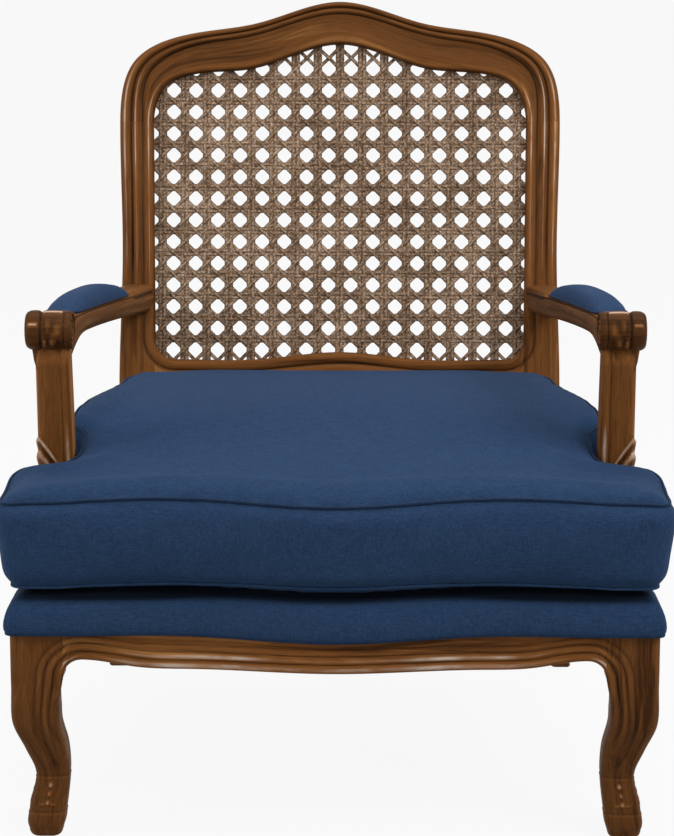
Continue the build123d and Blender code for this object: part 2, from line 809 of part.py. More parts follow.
# Sinuous springs, their end bars held by clips on the front and rear rails
clip_inner = spring_wire / 2 + slide_gap
clip_outer = clip_inner + clip_metal
spring_height = rail_top + clip_outer
spring_front_y = rail_back_y - spring_end_inset
spring_rear_y = rear_rail_front_y + spring_end_inset
curl_pitch = (spring_rear_y - spring_front_y) / (2 * spring_curls)
with BuildPart() as springs:
    for across in spring_across:
        bars = []
        for bar in range(2 * spring_curls + 1):
            bar_y = spring_front_y + bar * curl_pitch
            swing = spring_half_width if bar % 2 else -spring_half_width
            bars += [(across + swing, bar_y, spring_height), (across - swing, bar_y, spring_height)]
        with BuildLine() as spring_path:
            FilletPolyline(*bars, radius=curl_pitch * spring_roundness)
        with BuildSketch(Plane(spring_path.line @ 0, z_dir=spring_path.line % 0)):
            Circle(spring_wire / 2)
        sweep(path=spring_path.wire())
save(springs.part, "seat_springs")

# Least gap of the last spring's wire to itself, measured on points along it
points_per_bar = 8
point_count = points_per_bar * len(bars)
spring_points = [spring_path.line @ (i / point_count) for i in range(point_count + 1)]
near = 3 * points_per_bar
least = min((a - b).length for i, a in enumerate(spring_points) for b in spring_points[i + near:])
print("least gap of a seat spring to itself, mm:", round(least - spring_wire, 2))

# Spring clips: a loop round the end bar with a tail on the rail
with BuildPart() as clips:
    for across in spring_across:
        for bar_y, tail_way in ((spring_front_y, -1), (spring_rear_y, 1)):
            with BuildSketch(Plane.YZ.offset(across - clip_width / 2)):
                with Locations((bar_y, spring_height)):
                    Circle(clip_outer)
                with Locations((bar_y + tail_way * clip_tail / 2, rail_top + clip_metal / 2)):
                    Rectangle(clip_tail, clip_metal)
                with Locations((bar_y, spring_height)):
                    Circle(clip_inner, mode=Mode.SUBTRACT)
            extrude(amount=clip_width)
save(clips.part, "spring_clips")


def deck_outline(grow):
    """Outline of the seat frame in plan, grown evenly."""
    rear_y = rear_rail_front_y + rear_rail_thickness + grow
    corner_x = half_seat - leg_block_corner
    with BuildLine() as outline:
        front_curve(rail_end, grow)
        for side in (-1, 1):
            Line((side * rail_end, front_y - grow), (side * corner_x, front_y - grow))
            TangentArc((side * corner_x, front_y - grow),
                       (side * (half_seat + grow), front_y + leg_block_corner), tangent=(side, 0))
            Polyline((side * (half_seat + grow), front_y + leg_block_corner),
                     (side * (half_seat + grow), block_back_y), (side * (half_back + grow), back_y),
                     (side * (half_back + grow), rear_y), (0, rear_y))
    make_face(outline.edges())


def deck_notches():
    """Room for the arm posts and the stiles, cut from the part being built."""
    post_inner_x = post_middle_x - post_base_size / 2 - notch_gap
    with BuildSketch(Plane.XY) as room:
        for side in (-1, 1):
            with Locations((side * post_inner_x, post_middle_y)):
                Rectangle(reach, post_base_size + 2 * notch_gap,
                          align=(Align.MIN if side > 0 else Align.MAX, Align.CENTER))
            with Locations((side * (stile_inner - notch_gap), back_y - notch_gap)):
                Rectangle(reach, reach, align=(Align.MIN if side > 0 else Align.MAX, Align.MIN))
    extrude(room.sketch, amount=reach, mode=Mode.SUBTRACT)


# Burlap over the springs
burlap_low = spring_height + clip_outer + soft_gap
with BuildPart() as burlap:
    with BuildSketch(Plane.XY.offset(burlap_low)):
        deck_outline(-burlap_inset)
    extrude(amount=burlap_thickness)
    deck_notches()
save(burlap.part, "deck_burlap")


def deck_body(skin):
    """Deck with a rounded top edge, made smaller by the skin."""
    with BuildPart() as body:
        with BuildSketch(Plane.XY.offset(deck_low)):
            deck_outline(deck_overhang - skin)
        extrude(amount=deck_high - skin - deck_low)
        fillet(body.faces().sort_by(Axis.Z)[-1].edges(), deck_edge_radius - skin)
    return body.part


# Deck padding over the burlap and down the outside of the rails
with BuildPart() as deck_pad:
    add(deck_body(cover_thickness))
    with BuildSketch(Plane.XY.offset(deck_low)):
        deck_outline(soft_gap)
    extrude(amount=burlap_low + burlap_thickness + soft_gap - deck_low, mode=Mode.SUBTRACT)
    deck_notches()
save(deck_pad.part, "deck_pad")

# Deck cover
with BuildPart() as deck_cover:
    add(deck_body(0))
    add(deck_body(cover_thickness), mode=Mode.SUBTRACT)
    deck_notches()
save(deck_cover.part, "deck_cover")

# Dust cover under the seat, lapped under the side and rear rails
with BuildPart() as dust_cover:
    lap_front_y = block_back_y + bracket_radius + 2 * apron_lift
    lap_rear_y = back_y - bracket_radius - 2 * apron_lift
    with BuildSketch(Plane.XY.offset(tack_low)):
        with BuildLine():
            lap_front_x = side_rail_inner(lap_front_y) + dust_cover_lap
            lap_rear_x = side_rail_inner(lap_rear_y) + dust_cover_lap
            Polyline((lap_front_x, lap_front_y), (lap_rear_x, lap_rear_y), (-lap_rear_x, lap_rear_y),
                     (-lap_front_x, lap_front_y), close=True)
        make_face()
        with BuildLine():
            Polyline((rail_end - soft_gap, rail_back_y + soft_gap), (stile_inner - soft_gap, lap_rear_y),
                     (stile_inner - soft_gap, rear_rail_front_y + dust_cover_lap),
                     (soft_gap - stile_inner, rear_rail_front_y + dust_cover_lap),
                     (soft_gap - stile_inner, lap_rear_y),
                     (soft_gap - rail_end, rail_back_y + soft_gap), close=True)
        make_face()
    extrude(amount=dust_cover_thickness)
    tack_bores()
save(dust_cover.part, "dust_cover")

# Tacks of the dust cover
with BuildPart() as tacks:
    with Locations(*tack_places):
        Cylinder(tack_head / 2, tack_head_thickness, align=(Align.CENTER, Align.CENTER, Align.MAX))
        Cylinder(tack_shank / 2, tack_length, align=(Align.CENTER, Align.CENTER, Align.MIN))
save(tacks.part, "dust_cover_tacks")

# Loose cushion: T-shaped in plan, with ears in front of the arm posts
cushion_low = deck_high + soft_gap
cushion_high = cushion_low + cushion_thickness
cushion_back_y = back_y - cushion_back_gap
cushion_body_half = post_middle_x - post_base_size / 2 - post_inner_clear
cushion_ear_y = front_y + cushion_ear_depth


def cushion_outline(inset):
    """Outline of the cushion in plan, drawn in evenly."""
    ear = cushion_width / 2 - inset
    ear_front = front_y - cushion_overhang + inset
    ear_rear = cushion_ear_y - inset
    body = cushion_body_half - inset
    rear = cushion_rear_half - inset
    rear_y = cushion_back_y - inset
    turn = cushion_corner - inset
    rear_turn = cushion_rear_corner - inset
    with BuildLine() as outline:
        front_curve(ear - turn, cushion_overhang - inset)
        for side in (-1, 1):
            TangentArc((side * (ear - turn), ear_front), (side * ear, ear_front + turn), tangent=(side, 0))
            Line((side * ear, ear_front + turn), (side * ear, ear_rear - turn))
            TangentArc((side * ear, ear_rear - turn), (side * (ear - turn), ear_rear), tangent=(0, 1))
            Line((side * (ear - turn), ear_rear), (side * body, ear_rear))
            Line((side * body, ear_rear), (side * rear, rear_y - rear_turn))
            turn_middle = rear_turn * (1 - cos(pi / 4))
            ThreePointArc((side * rear, rear_y - rear_turn),
                          (side * (rear - turn_middle), rear_y - turn_middle),
                          (side * (rear - rear_turn), rear_y))
        Line((rear - rear_turn, rear_y), (rear_turn - rear, rear_y))
    make_face(outline.edges())


def cushion_body(skin):
    """Cushion with bulging sides and a crowned top, made smaller by the skin."""
    with BuildPart() as body:
        for height, set_in in ((cushion_low + skin, cushion_edge_set_in),
                               (cushion_low + cushion_bulge_height, 0),
                               (cushion_high - skin, cushion_edge_set_in)):
            with BuildSketch(Plane.XY.offset(height)):
                cushion_outline(set_in + skin)
        loft()
        with BuildSketch(Plane.XY.offset(cushion_high - skin)):
            cushion_outline(cushion_edge_set_in + skin)
        extrude(amount=2 * cushion_crown)
        middle_y = (front_y + cushion_back_y) / 2
        for station_y, side_rise, crown in ((front_y - front_bow - 2 * cushion_overhang, 0, 0),
                                            (cushion_ear_y, cushion_ear_rise, cushion_ear_crown),
                                            (middle_y, cushion_side_rise, cushion_crown),
                                            (back_y, cushion_side_rise, cushion_crown)):
            side_top = cushion_high - skin + side_rise
            crown_top = cushion_high - skin + crown + cushion_least_crown
            half_width = cushion_width / 2 + cushion_overhang
            with BuildSketch(Plane.XZ.offset(-station_y)):
                with BuildLine():
                    Polyline((half_width, side_top), (half_width, 0), (-half_width, 0),
                             (-half_width, side_top))
                    ThreePointArc((-half_width, side_top), (0, crown_top), (half_width, side_top))
                make_face()
        loft(mode=Mode.INTERSECT)
    return body.part


with BuildPart() as cushion_core:
    add(cushion_body(cover_thickness))
save(cushion_core.part, "cushion_core")
with BuildPart() as cushion_cover:
    add(cushion_body(0))
    add(cushion_body(cover_thickness), mode=Mode.SUBTRACT)
save(cushion_cover.part, "cushion_cover")

# Zip along the cushion's rear: tape with a raised chain, and the slider on the chain
zip_height = cushion_low + cushion_bulge_height
zip_y = cushion_back_y + soft_gap
chain_y = zip_y + zip_tape_thickness
with BuildPart() as zip_tape:
    with BuildSketch(Plane.XZ.offset(-zip_y)):
        with Locations((0, zip_height)):
            RectangleRounded(zip_length, zip_tape_width, zip_chain_width / 2)
    extrude(amount=-zip_tape_thickness)
    with BuildSketch(Plane.XZ.offset(-chain_y)):
        with Locations((0, zip_height)):
            Rectangle(zip_length - zip_tape_width, zip_chain_width)
    extrude(amount=-zip_chain_height)
save(zip_tape.part, "cushion_zip_tape")

# Zip slider, open along the chain, with its pull hanging down
with BuildPart() as zip_slider:
    slider_x = slider_start - slider_length / 2
    slider_y = chain_y + slide_gap
    with BuildSketch(Plane.YZ.offset(slider_x - slider_length / 2)):
        with Locations((slider_y, zip_height)):
            Rectangle(slider_height, slider_width, align=(Align.MIN, Align.CENTER))
            Rectangle(zip_chain_height, zip_chain_width + 2 * slide_gap, align=(Align.MIN, Align.CENTER),
                      mode=Mode.SUBTRACT)
    extrude(amount=slider_length)
    with BuildSketch(Plane.XZ.offset(-slider_y - slider_height + slider_pull_thickness)):
        with Locations((slider_x, zip_height)):
            RectangleRounded(slider_pull_width, slider_pull_length, slider_pull_width / 3,
                             align=(Align.CENTER, Align.MAX))
    extrude(amount=-slider_pull_thickness)
save(zip_slider.part, "cushion_zip_slider")
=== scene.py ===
import bpy
import bmesh
import json
import numpy as np
from math import cos, pi, radians, sin, sqrt, tan
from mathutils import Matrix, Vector
from mathutils.bvhtree import BVHTree


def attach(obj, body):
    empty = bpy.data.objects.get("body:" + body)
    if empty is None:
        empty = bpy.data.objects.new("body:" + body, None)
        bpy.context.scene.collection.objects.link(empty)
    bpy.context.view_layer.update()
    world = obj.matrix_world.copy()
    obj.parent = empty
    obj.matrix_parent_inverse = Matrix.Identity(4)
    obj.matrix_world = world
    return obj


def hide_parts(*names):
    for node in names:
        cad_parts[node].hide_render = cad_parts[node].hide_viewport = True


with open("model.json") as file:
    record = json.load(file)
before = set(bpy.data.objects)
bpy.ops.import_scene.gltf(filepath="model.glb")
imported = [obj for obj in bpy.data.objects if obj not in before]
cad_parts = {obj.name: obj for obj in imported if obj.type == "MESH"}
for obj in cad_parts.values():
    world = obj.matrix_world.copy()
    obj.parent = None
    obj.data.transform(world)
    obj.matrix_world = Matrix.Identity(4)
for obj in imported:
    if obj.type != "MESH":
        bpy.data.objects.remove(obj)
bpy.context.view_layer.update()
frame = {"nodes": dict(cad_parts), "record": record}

# Sizes in millimetres, the same as those of the solids
MM = 0.001
half_seat = 367.0
seat_depth = 560.0
front_bow = 27.0
front_hollow = 2.0
bow_quarter = 165.0
rail_top = 262.0
rail_low = 216.0
front_rail_thick = 30.0
side_rail_thick = 46.0
apron_dip = 3.0
apron_lift = 3.0
bracket = 28.0
leg_block = 58.0
half_back = 302.0
rake = radians(12.5)
bend_height = 430.0
back_height = 524.0
back_thick = 36.0
stile_inner = 253.0
opening_spread = 3.0
joint_height = 360.0
opening_low = 34.0
corner_turn = 28.0
corner_across = stile_inner - corner_turn
corner_up = opening_low + corner_turn
back_rail_low = -16.0
rabbet = 9.0
cane_depth = 14.0
deck_low = 250.0
deck_high = 300.0
cushion_low = 300.3
cushion_high = 412.3
cushion_overhang = 6.0
overall_depth = cushion_overhang + front_bow + seat_depth + back_height * sin(rake) + back_thick * cos(rake)
front_y = cushion_overhang + front_bow - overall_depth / 2
back_y = front_y + seat_depth
rail_end = half_seat - leg_block
block_back_y = front_y + leg_block
cushion_back_y = back_y - 12.0
cushion_ear_y = front_y + 134.0
sides = ((-1, "left"), (1, "right"))


# Curves and tables

def unit(v):
    """A direction, or each row of several, at length one."""
    v = np.asarray(v, float)
    return v / np.linalg.norm(v, axis=-1, keepdims=True)


def clamped(points, start, end):
    """Smooth curve through points with given end directions: its knots, points and slopes."""
    p = np.asarray(points, float)
    h = np.linalg.norm(np.diff(p, axis=0), axis=1)
    knots = np.concatenate([[0], np.cumsum(h)])
    count = len(p)
    lhs = np.zeros((count, count))
    rhs = np.zeros(p.shape)
    lhs[0, 0] = lhs[-1, -1] = 1
    rhs[0] = unit(start)
    rhs[-1] = unit(end)
    for i in range(1, count - 1):
        lhs[i, i - 1:i + 2] = (h[i], 2 * (h[i - 1] + h[i]), h[i - 1])
        rhs[i] = 3 * (h[i] * (p[i] - p[i - 1]) / h[i - 1] + h[i - 1] * (p[i + 1] - p[i]) / h[i])
    return knots, p, np.linalg.solve(lhs, rhs)


def at(line, where):
    """Points of a curve at distances along its knots."""
    knots, p, slopes = line
    where = np.clip(np.asarray(where, float), knots[0], knots[-1])
    i = np.clip(np.searchsorted(knots, where, side="right") - 1, 0, len(knots) - 2)
    h = knots[i + 1] - knots[i]
    t = (where - knots[i]) / h
    if p.ndim > 1:
        h, t = h[:, None], t[:, None]
    return ((2 * t ** 3 - 3 * t ** 2 + 1) * p[i] + (t ** 3 - 2 * t ** 2 + t) * h * slopes[i]
            + (3 * t ** 2 - 2 * t ** 3) * p[i + 1] + (t ** 3 - t ** 2) * h * slopes[i + 1])


def along(points, start, end, count):
    """Even points on a smooth curve."""
    line = clamped(points, start, end)
    return at(line, np.linspace(0, line[0][-1], count))


def table(xs, ys):
    """Smooth function through a table of values."""
    xs = np.asarray(xs, float)
    ys = np.asarray(ys, float)
    slopes = np.gradient(ys, xs)
    return lambda x: at((xs, ys, slopes), x)


def follow(line, where):
    """Second value of a line at a first value, its points running towards lower first values."""
    return np.interp(where, line[::-1, 0], line[::-1, 1])


def ease(x, low, high):
    """Smooth step from 0 at low to 1 at high."""
    t = np.clip((np.asarray(x, float) - low) / (high - low), 0, 1)
    return t * t * (3 - 2 * t)


def bell(x, middle, width):
    """One at the middle, fading to zero beside it."""
    return np.exp(-((x - middle) / width) ** 2)


def lines_near(middles, x, width):
    """Bells at several middles, added up."""
    return sum(bell(x, middle, width) for middle in middles)


def half_chord(radius, off):
    """Half a circle's chord at a distance from its middle."""
    return sqrt(max(radius ** 2 - off ** 2, 0))


def spread(*runs):
    """Stations from even runs, given as first, last and count, and from lists of values."""
    return np.concatenate([np.linspace(*run) if isinstance(run, tuple) else run for run in runs])


def places(*values):
    """Points from their coordinates, a single number standing for all."""
    return np.stack(np.broadcast_arrays(*values), axis=-1)


def mirrored(points):
    """Half a line continued by its mirror image across the middle."""
    return list(points) + [(-x, y) for x, y in reversed(points[:-1])]


def arc(cx, cy, radius, start, end, count):
    turn = np.radians(np.linspace(start, end, count))
    return places(cx + radius * np.cos(turn), cy + radius * np.sin(turn))


def stretch(a, b, count):
    """Points between two ends, the ends left out."""
    a, b = np.asarray(a, float), np.asarray(b, float)
    return a + (b - a) * np.linspace(0, 1, count + 2)[1:-1, None]


def rounded(size_u, size_w, turns, corner_points=9, side_points=11):
    """Rounded rectangle about the origin with its outward directions; turns are the radii of its corners."""
    points, ways = [], []
    for (su, sw, angle), turn in zip(((-1, -1, 180), (1, -1, 270), (1, 1, 0), (-1, 1, 90)), turns):
        way = arc(0, 0, 1, angle, angle + 90, corner_points)
        points.append(np.array([su * (size_u / 2 - turn), sw * (size_w / 2 - turn)]) + turn * way)
        ways.append(way)
    loop, out = [], []
    for i in range(4):
        loop += [points[i], stretch(points[i][-1], points[(i + 1) % 4][0], side_points)]
        out += [ways[i], np.repeat(ways[i][-1:], side_points, axis=0)]
    return np.vstack(loop), np.vstack(out)


def closed(line):
    """A line brought back to its start."""
    return np.vstack([line, line[:1]])


def dense(points, step):
    """The same line with points no further apart than a step."""
    points = np.asarray(points, float)
    out = []
    for a, b in zip(points, points[1:]):
        count = max(1, int(np.ceil(np.linalg.norm(b - a) / step)))
        out.append(a + (b - a) * (np.arange(count) / count)[:, None])
    return np.vstack(out + [points[-1:]])


def distance(points, line):
    """Least distance from each point to a line of points."""
    best = np.full(len(points), 1e9)
    for a, b in zip(line, line[1:]):
        d = b - a
        t = np.clip((points - a) @ d / max(d @ d, 1e-12), 0, 1)
        best = np.minimum(best, np.linalg.norm(points - a - t[:, None] * d, axis=1))
    return best


def inside(points, loop):
    """Which points lie inside a closed line."""
    x, y = points.T
    found = np.zeros(len(points), bool)
    for (ax, ay), (bx, by) in zip(loop, np.roll(loop, -1, axis=0)):
        if ay != by:
            found ^= ((ay > y) != (by > y)) & (x < (bx - ax) * (y - ay) / (by - ay) + ax)
    return found


# Materials

class Net:
    """The nodes and links of a material or of the world."""

    def __init__(self, owner, grain=None):
        owner.use_nodes = True
        self.owner = owner
        self.grain = grain
        self.tree = owner.node_tree
        self.tree.nodes.clear()

    def node(self, kind, inputs=None, **settings):
        made = self.tree.nodes.new(kind)
        for key, value in settings.items():
            setattr(made, key, value)
        for key, value in (inputs or {}).items():
            self.put(made.inputs[key], value)
        return made

    def put(self, socket, value):
        if isinstance(value, bpy.types.NodeSocket):
            self.tree.links.new(value, socket)
        else:
            socket.default_value = value

    def mark(self, name, output="Fac"):
        return self.node("ShaderNodeAttribute", attribute_name=name).outputs[output]

    def noise(self, scale, detail=3.0, distortion=0.0, roughness=0.5):
        """Noise over the object, or over the marked grain of its pieces."""
        if self.grain:
            coords = self.mark(self.grain, "Vector")
        else:
            coords = self.node("ShaderNodeTexCoord").outputs["Object"]
        scaled = self.node("ShaderNodeMapping", {"Vector": coords, "Scale": scale})
        made = self.node("ShaderNodeTexNoise", {"Vector": scaled.outputs["Vector"], "Scale": 1.0,
                                                "Detail": detail, "Roughness": roughness,
                                                "Distortion": distortion})
        return made.outputs["Fac"]

    def ramp(self, value, stops):
        made = self.node("ShaderNodeValToRGB", {"Fac": value})
        marks = made.color_ramp.elements
        while len(marks) < len(stops):
            marks.new(0.5)
        for mark, (position, colour) in zip(marks, stops):
            mark.position = position
            mark.color = (*colour, 1)
        return made.outputs["Color"]

    def math(self, operation, a, b):
        return self.node("ShaderNodeMath", {0: a, 1: b}, operation=operation).outputs[0]

    def blend(self, a, share_a, b, share_b):
        return self.math("ADD", self.math("MULTIPLY", a, share_a), self.math("MULTIPLY", b, share_b))

    def span(self, value, low, high, to_low, to_high):
        made = self.node("ShaderNodeMapRange", {"Value": value, "From Min": low, "From Max": high,
                                                "To Min": to_low, "To Max": to_high})
        return made.outputs["Result"]

    def times(self, colour, factor):
        made = self.node("ShaderNodeVectorMath", operation="SCALE")
        self.put(made.inputs["Vector"], colour)
        self.put(made.inputs["Scale"], factor)
        return made.outputs["Vector"]

    def bump(self, height, strength, reach):
        made = self.node("ShaderNodeBump", {"Height": height, "Strength": strength, "Distance": reach})
        return made.outputs["Normal"]

    def done(self, inputs):
        shader = self.node("ShaderNodeBsdfPrincipled", inputs)
        self.node("ShaderNodeOutputMaterial", {"Surface": shader.outputs[0]})
        return self.owner


def stretched(axis, along_grain, across_grain):
    scale = [across_grain] * 3
    scale["xyz".index(axis)] = along_grain
    return scale


def even(scale):
    return (scale, scale, scale)


def wood(name, dark, middle, light, grain=None):
    """Oiled wood, its grain along x or along a mark, darkened in the carving by painted shade and with
    painted highlights on its crowns.
    """
    net = Net(bpy.data.materials.new(name), grain)
    figure = net.noise(stretched("x", 4, 95), 5, 0.9, 0.6)
    broad = net.noise(stretched("x", 2.4, 16), 2, 0.4)
    pores = net.noise(stretched("x", 38, 900), 3, 0.2)
    tone = net.blend(figure, 0.6, broad, 0.4)
    colour = net.ramp(tone, ((0.36, dark), (0.47, middle), (0.53, middle), (0.65, light)))
    streak = net.span(pores, 0.5, 0.68, 1.0, 0.66)
    # The marked value scales the colour: tone and painted shade above zero, painted highlights below it.
    tone_and_painted_shade = net.mark("tone_and_painted_shade")
    colour = net.times(net.times(colour, streak), net.span(tone_and_painted_shade, -1.0, 1.0, 1.62, 0.3))
    # Painted highlight: a pale colour mixed in, in patches, where the marked value is well below zero.
    patches = net.span(net.noise(stretched("x", 20, 60), 3, 0.5), 0.38, 0.62, 0.3, 1.25)
    painted_highlight_share = net.math("MULTIPLY", net.span(tone_and_painted_shade, -0.5, -1.1, 0.0, 0.75), patches)
    painted_highlight = net.node("ShaderNodeMix", {"Factor": painted_highlight_share}, data_type="RGBA")
    net.put(painted_highlight.inputs[6], colour)
    net.put(painted_highlight.inputs[7], (0.56, 0.47, 0.39, 1))
    height = net.blend(figure, 0.6, pores, -0.9)
    return net.done({"Base Color": painted_highlight.outputs[2], "Roughness": net.span(figure, 0.3, 0.7, 0.64, 0.5),
                     "Specular IOR Level": 0.09, "Specular Tint": (1.0, 0.82, 0.64, 1),
                     "Normal": net.bump(height, 0.22, 0.0006)})


def fabric(name, dark, light, sheen):
    """Plain woven cloth: threads along three directions, slubs and a soft sheen."""
    net = Net(bpy.data.materials.new(name))
    threads = [net.noise(stretched(axis, 90, 1150), 2, 0.1) for axis in "xyz"]
    weave_height = net.math("ADD", net.math("ADD", threads[0], threads[1]), threads[2])
    slub = net.noise(even(60), 4, 0.3)
    colour = net.ramp(net.blend(weave_height, 0.3, slub, 0.08), ((0.4, dark), (0.6, light)))
    # Painted shadow: the colour darkened where marked, as in the crease under the cushion on the deck.
    colour = net.times(colour, net.span(net.mark("tone_and_painted_shade"), 0.0, 1.0, 0.95, 0.08))
    return net.done({"Base Color": colour, "Roughness": net.span(weave_height, 1.2, 1.8, 0.78, 0.95),
                     "Specular IOR Level": 0.06, "Sheen Weight": sheen, "Sheen Roughness": 0.45,
                     "Sheen Tint": (0.62, 0.74, 1.0, 1), "Normal": net.bump(weave_height, 0.35, 0.0006)})


def strands(name, dark, middle, light):
    """Split cane: satin tan skin with fine mottling, and painted shade darkening the edges of each strand."""
    net = Net(bpy.data.materials.new(name))
    grain = net.noise(even(330), 3, 0.6)
    broad = net.noise(even(14), 3, 0.5)
    colour = net.ramp(net.blend(grain, 0.72, broad, 0.28), ((0.36, dark), (0.49, middle), (0.64, light)))
    colour = net.times(colour, net.span(net.mark("tone_and_painted_shade"), -1.0, 1.0, 1.5, 0.22))
    return net.done({"Base Color": colour, "Roughness": net.span(grain, 0.3, 0.7, 0.5, 0.34),
                     "Specular IOR Level": 0.2, "Normal": net.bump(grain, 0.25, 0.0004)})


def metal(name, colour, rough):
    """Drawn or stamped metal with fine scratches and a duller film in places."""
    net = Net(bpy.data.materials.new(name))
    scratch = net.noise((90, 1600, 900), 2, 0.1)
    film = net.noise(even(60), 3, 0.4)
    dull = tuple(0.6 * c for c in colour)
    tint = net.ramp(film, ((0.3, dull), (0.6, colour)))
    return net.done({"Base Color": net.times(tint, net.span(scratch, 0.3, 0.7, 0.85, 1.1)), "Metallic": 1.0,
                     "Roughness": net.span(film, 0.3, 0.7, rough + 0.15, rough),
                     "Normal": net.bump(scratch, 0.15, 0.0002)})


walnut_tones = ((0.062, 0.0215, 0.006), (0.172, 0.064, 0.0165), (0.33, 0.146, 0.044))
walnut = wood("walnut_oiled", *walnut_tones, grain="grain")
walnut_plain = wood("walnut_board", *walnut_tones)
beech = wood("beech_x", (0.24, 0.125, 0.052), (0.36, 0.2, 0.09), (0.46, 0.28, 0.14))
blue = fabric("blue_fabric", (0.012, 0.030, 0.072), (0.028, 0.062, 0.136), 0.04)
blue_dark = fabric("blue_welt", (0.007, 0.017, 0.042), (0.017, 0.036, 0.08), 0.08)
foam = fabric("foam_skin", (0.55, 0.47, 0.3), (0.72, 0.64, 0.46), 0.05)
burlap = fabric("burlap_weave", (0.17, 0.11, 0.05), (0.32, 0.23, 0.12), 0.1)
dark_cloth = fabric("dark_cloth_weave", (0.006, 0.006, 0.007), (0.022, 0.022, 0.024), 0.08)
cane = strands("cane_skin", (0.075, 0.038, 0.018), (0.23, 0.135, 0.075), (0.5, 0.35, 0.24))
steel = metal("steel_wire", (0.42, 0.42, 0.43), 0.32)
brass = metal("zip_brass", (0.62, 0.46, 0.2), 0.3)
slot_material = {"walnut": walnut_plain, "beech": beech, "cane": cane, "blue_fabric": blue, "foam": foam,
                 "burlap": burlap, "dark_cloth": dark_cloth, "steel": steel, "zip_metal": brass}
slot_of = {row["node"]: row["material_slot"] for row in frame["record"]["subparts"]}
for node, obj in frame["nodes"].items():
    for spot in obj.material_slots:
        spot.material = slot_material[slot_of[node]]
for node in ("rear_seat_rail", "corner_blocks", "arm_screw_plugs", "cane_spline", "cushion_zip_slider"):
    soften = frame["nodes"][node].modifiers.new("soften", "BEVEL")
    soften.width = 0.0012
    soften.segments = 2
    soften.limit_method = "ANGLE"


# Pieces

def turned_up(up, way):
    """The up direction made square to a way."""
    return unit(up - way * (up @ way))


def flow(rings):
    """Place of each point along and across a member skinned over rings, for its grain."""
    rings = np.asarray(rings, float)
    middle = rings.mean(axis=1)
    runs = np.concatenate([[0], np.cumsum(np.linalg.norm(np.diff(middle, axis=0), axis=1))])
    ways = unit(np.gradient(middle, axis=0))
    up = np.array([0.0, 1, 0]) if abs(ways[0, 1]) < 0.7 else np.array([0, 0, 1.0])
    out = []
    for ring, way, run in zip(rings - middle[:, None], ways, runs):
        up = turned_up(up, way)
        out.append(places(run, ring @ up, ring @ np.cross(way, up)))
    return np.vstack(out) + middle[0]


def linked(name, data):
    """A new object in the scene."""
    obj = bpy.data.objects.new(name, data)
    bpy.context.scene.collection.objects.link(obj)
    return obj


def mesh_object(name, verts, faces, tone_and_painted_shade=None, grain=None, clean=False):
    """A mesh given in millimetres, with its tone and painted shade, and its grain, marked on its points."""
    mesh = bpy.data.meshes.new(name)
    mesh.from_pydata((np.asarray(verts) * MM).tolist(), [], faces)
    if tone_and_painted_shade is not None:
        layer = mesh.attributes.new("tone_and_painted_shade", "FLOAT", "POINT")
        layer.data.foreach_set("value", np.asarray(tone_and_painted_shade, np.float32).ravel())
    if grain is not None:
        layer = mesh.attributes.new("grain", "FLOAT_VECTOR", "POINT")
        layer.data.foreach_set("vector", (np.asarray(grain) * MM).astype(np.float32).ravel())
    bm = bmesh.new()
    bm.from_mesh(mesh)
    if clean:
        bmesh.ops.remove_doubles(bm, verts=bm.verts, dist=1e-6)
        bmesh.ops.dissolve_degenerate(bm, edges=bm.edges, dist=1e-6)
    bmesh.ops.recalc_face_normals(bm, faces=bm.faces)
    bm.to_mesh(mesh)
    bm.free()
    return linked(name, mesh)


def piece(name, skin, mat, body="frame", tone_and_painted_shade=None, grain=None, sharp=38, replaces=(), clean=True):
    """A visible piece from its vertices and faces, riding on a body."""
    obj = mesh_object(name, *skin, tone_and_painted_shade, grain, clean)
    obj.data.shade_smooth()
    obj.data.set_sharp_from_angle(angle=radians(sharp))
    obj.data.materials.append(mat)
    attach(obj, body)
    if replaces:
        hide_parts(*replaces)
    return obj


def loft(rings, first=True, last=True):
    """Vertices and faces of a skin over closed rings, the first and last ring capped or open."""
    rings = np.asarray(rings, float)
    count, size = rings.shape[:2]
    index = np.arange(count * size).reshape(count, size)
    ahead = np.roll(index, -1, axis=1)
    faces = places(index[:-1], ahead[:-1], ahead[1:], index[1:]).reshape(-1, 4).tolist()
    if first:
        faces.append(index[0, ::-1].tolist())
    if last:
        faces.append(index[-1].tolist())
    return rings.reshape(-1, 3), faces


def joined(skins):
    """Several skins as one."""
    verts, faces = [], []
    start = 0
    for part_verts, part_faces in skins:
        verts.append(part_verts)
        faces += [[start + i for i in face] for face in part_faces]
        start += len(part_verts)
    return np.vstack(verts), faces


def tube(path, radius, sides_count=8, endless=False):
    """Round tube along a line of points."""
    path = np.asarray(path, float)
    if endless:
        ways = unit(np.roll(path, -1, axis=0) - np.roll(path, 1, axis=0))
    else:
        ways = unit(np.gradient(path, axis=0))
    up = np.array([0, 0, 1.0]) if abs(ways[0, 2]) < 0.9 else np.array([1.0, 0, 0])
    turn = np.linspace(0, 2 * pi, sides_count, endpoint=False)[:, None]
    rings = []
    for p, way in zip(path, ways):
        up = turned_up(up, way)
        rings.append(p + radius * (np.cos(turn) * np.cross(way, up) + np.sin(turn) * up))
    if endless:
        rings.append(rings[0])
    return loft(rings, not endless, not endless)


def wooden(name, rows, node, tone=0.0):
    """A carved member skinned over rings that come with their tone and painted shade, in place of a solid."""
    rings, shades = zip(*rows)
    piece(name, loft(rings), walnut, tone_and_painted_shade=np.concatenate(shades) + tone, grain=flow(rings),
          replaces=[node])


def wooden_pair(name, rows, node, tone=0.0):
    """The left and right members from the rings of the right one."""
    for side, hand in sides:
        placed = [(ring * (side, 1, 1), shade) for ring, shade in rows]
        wooden(f"{name}_{hand}", placed, f"{node}_{hand}", tone)


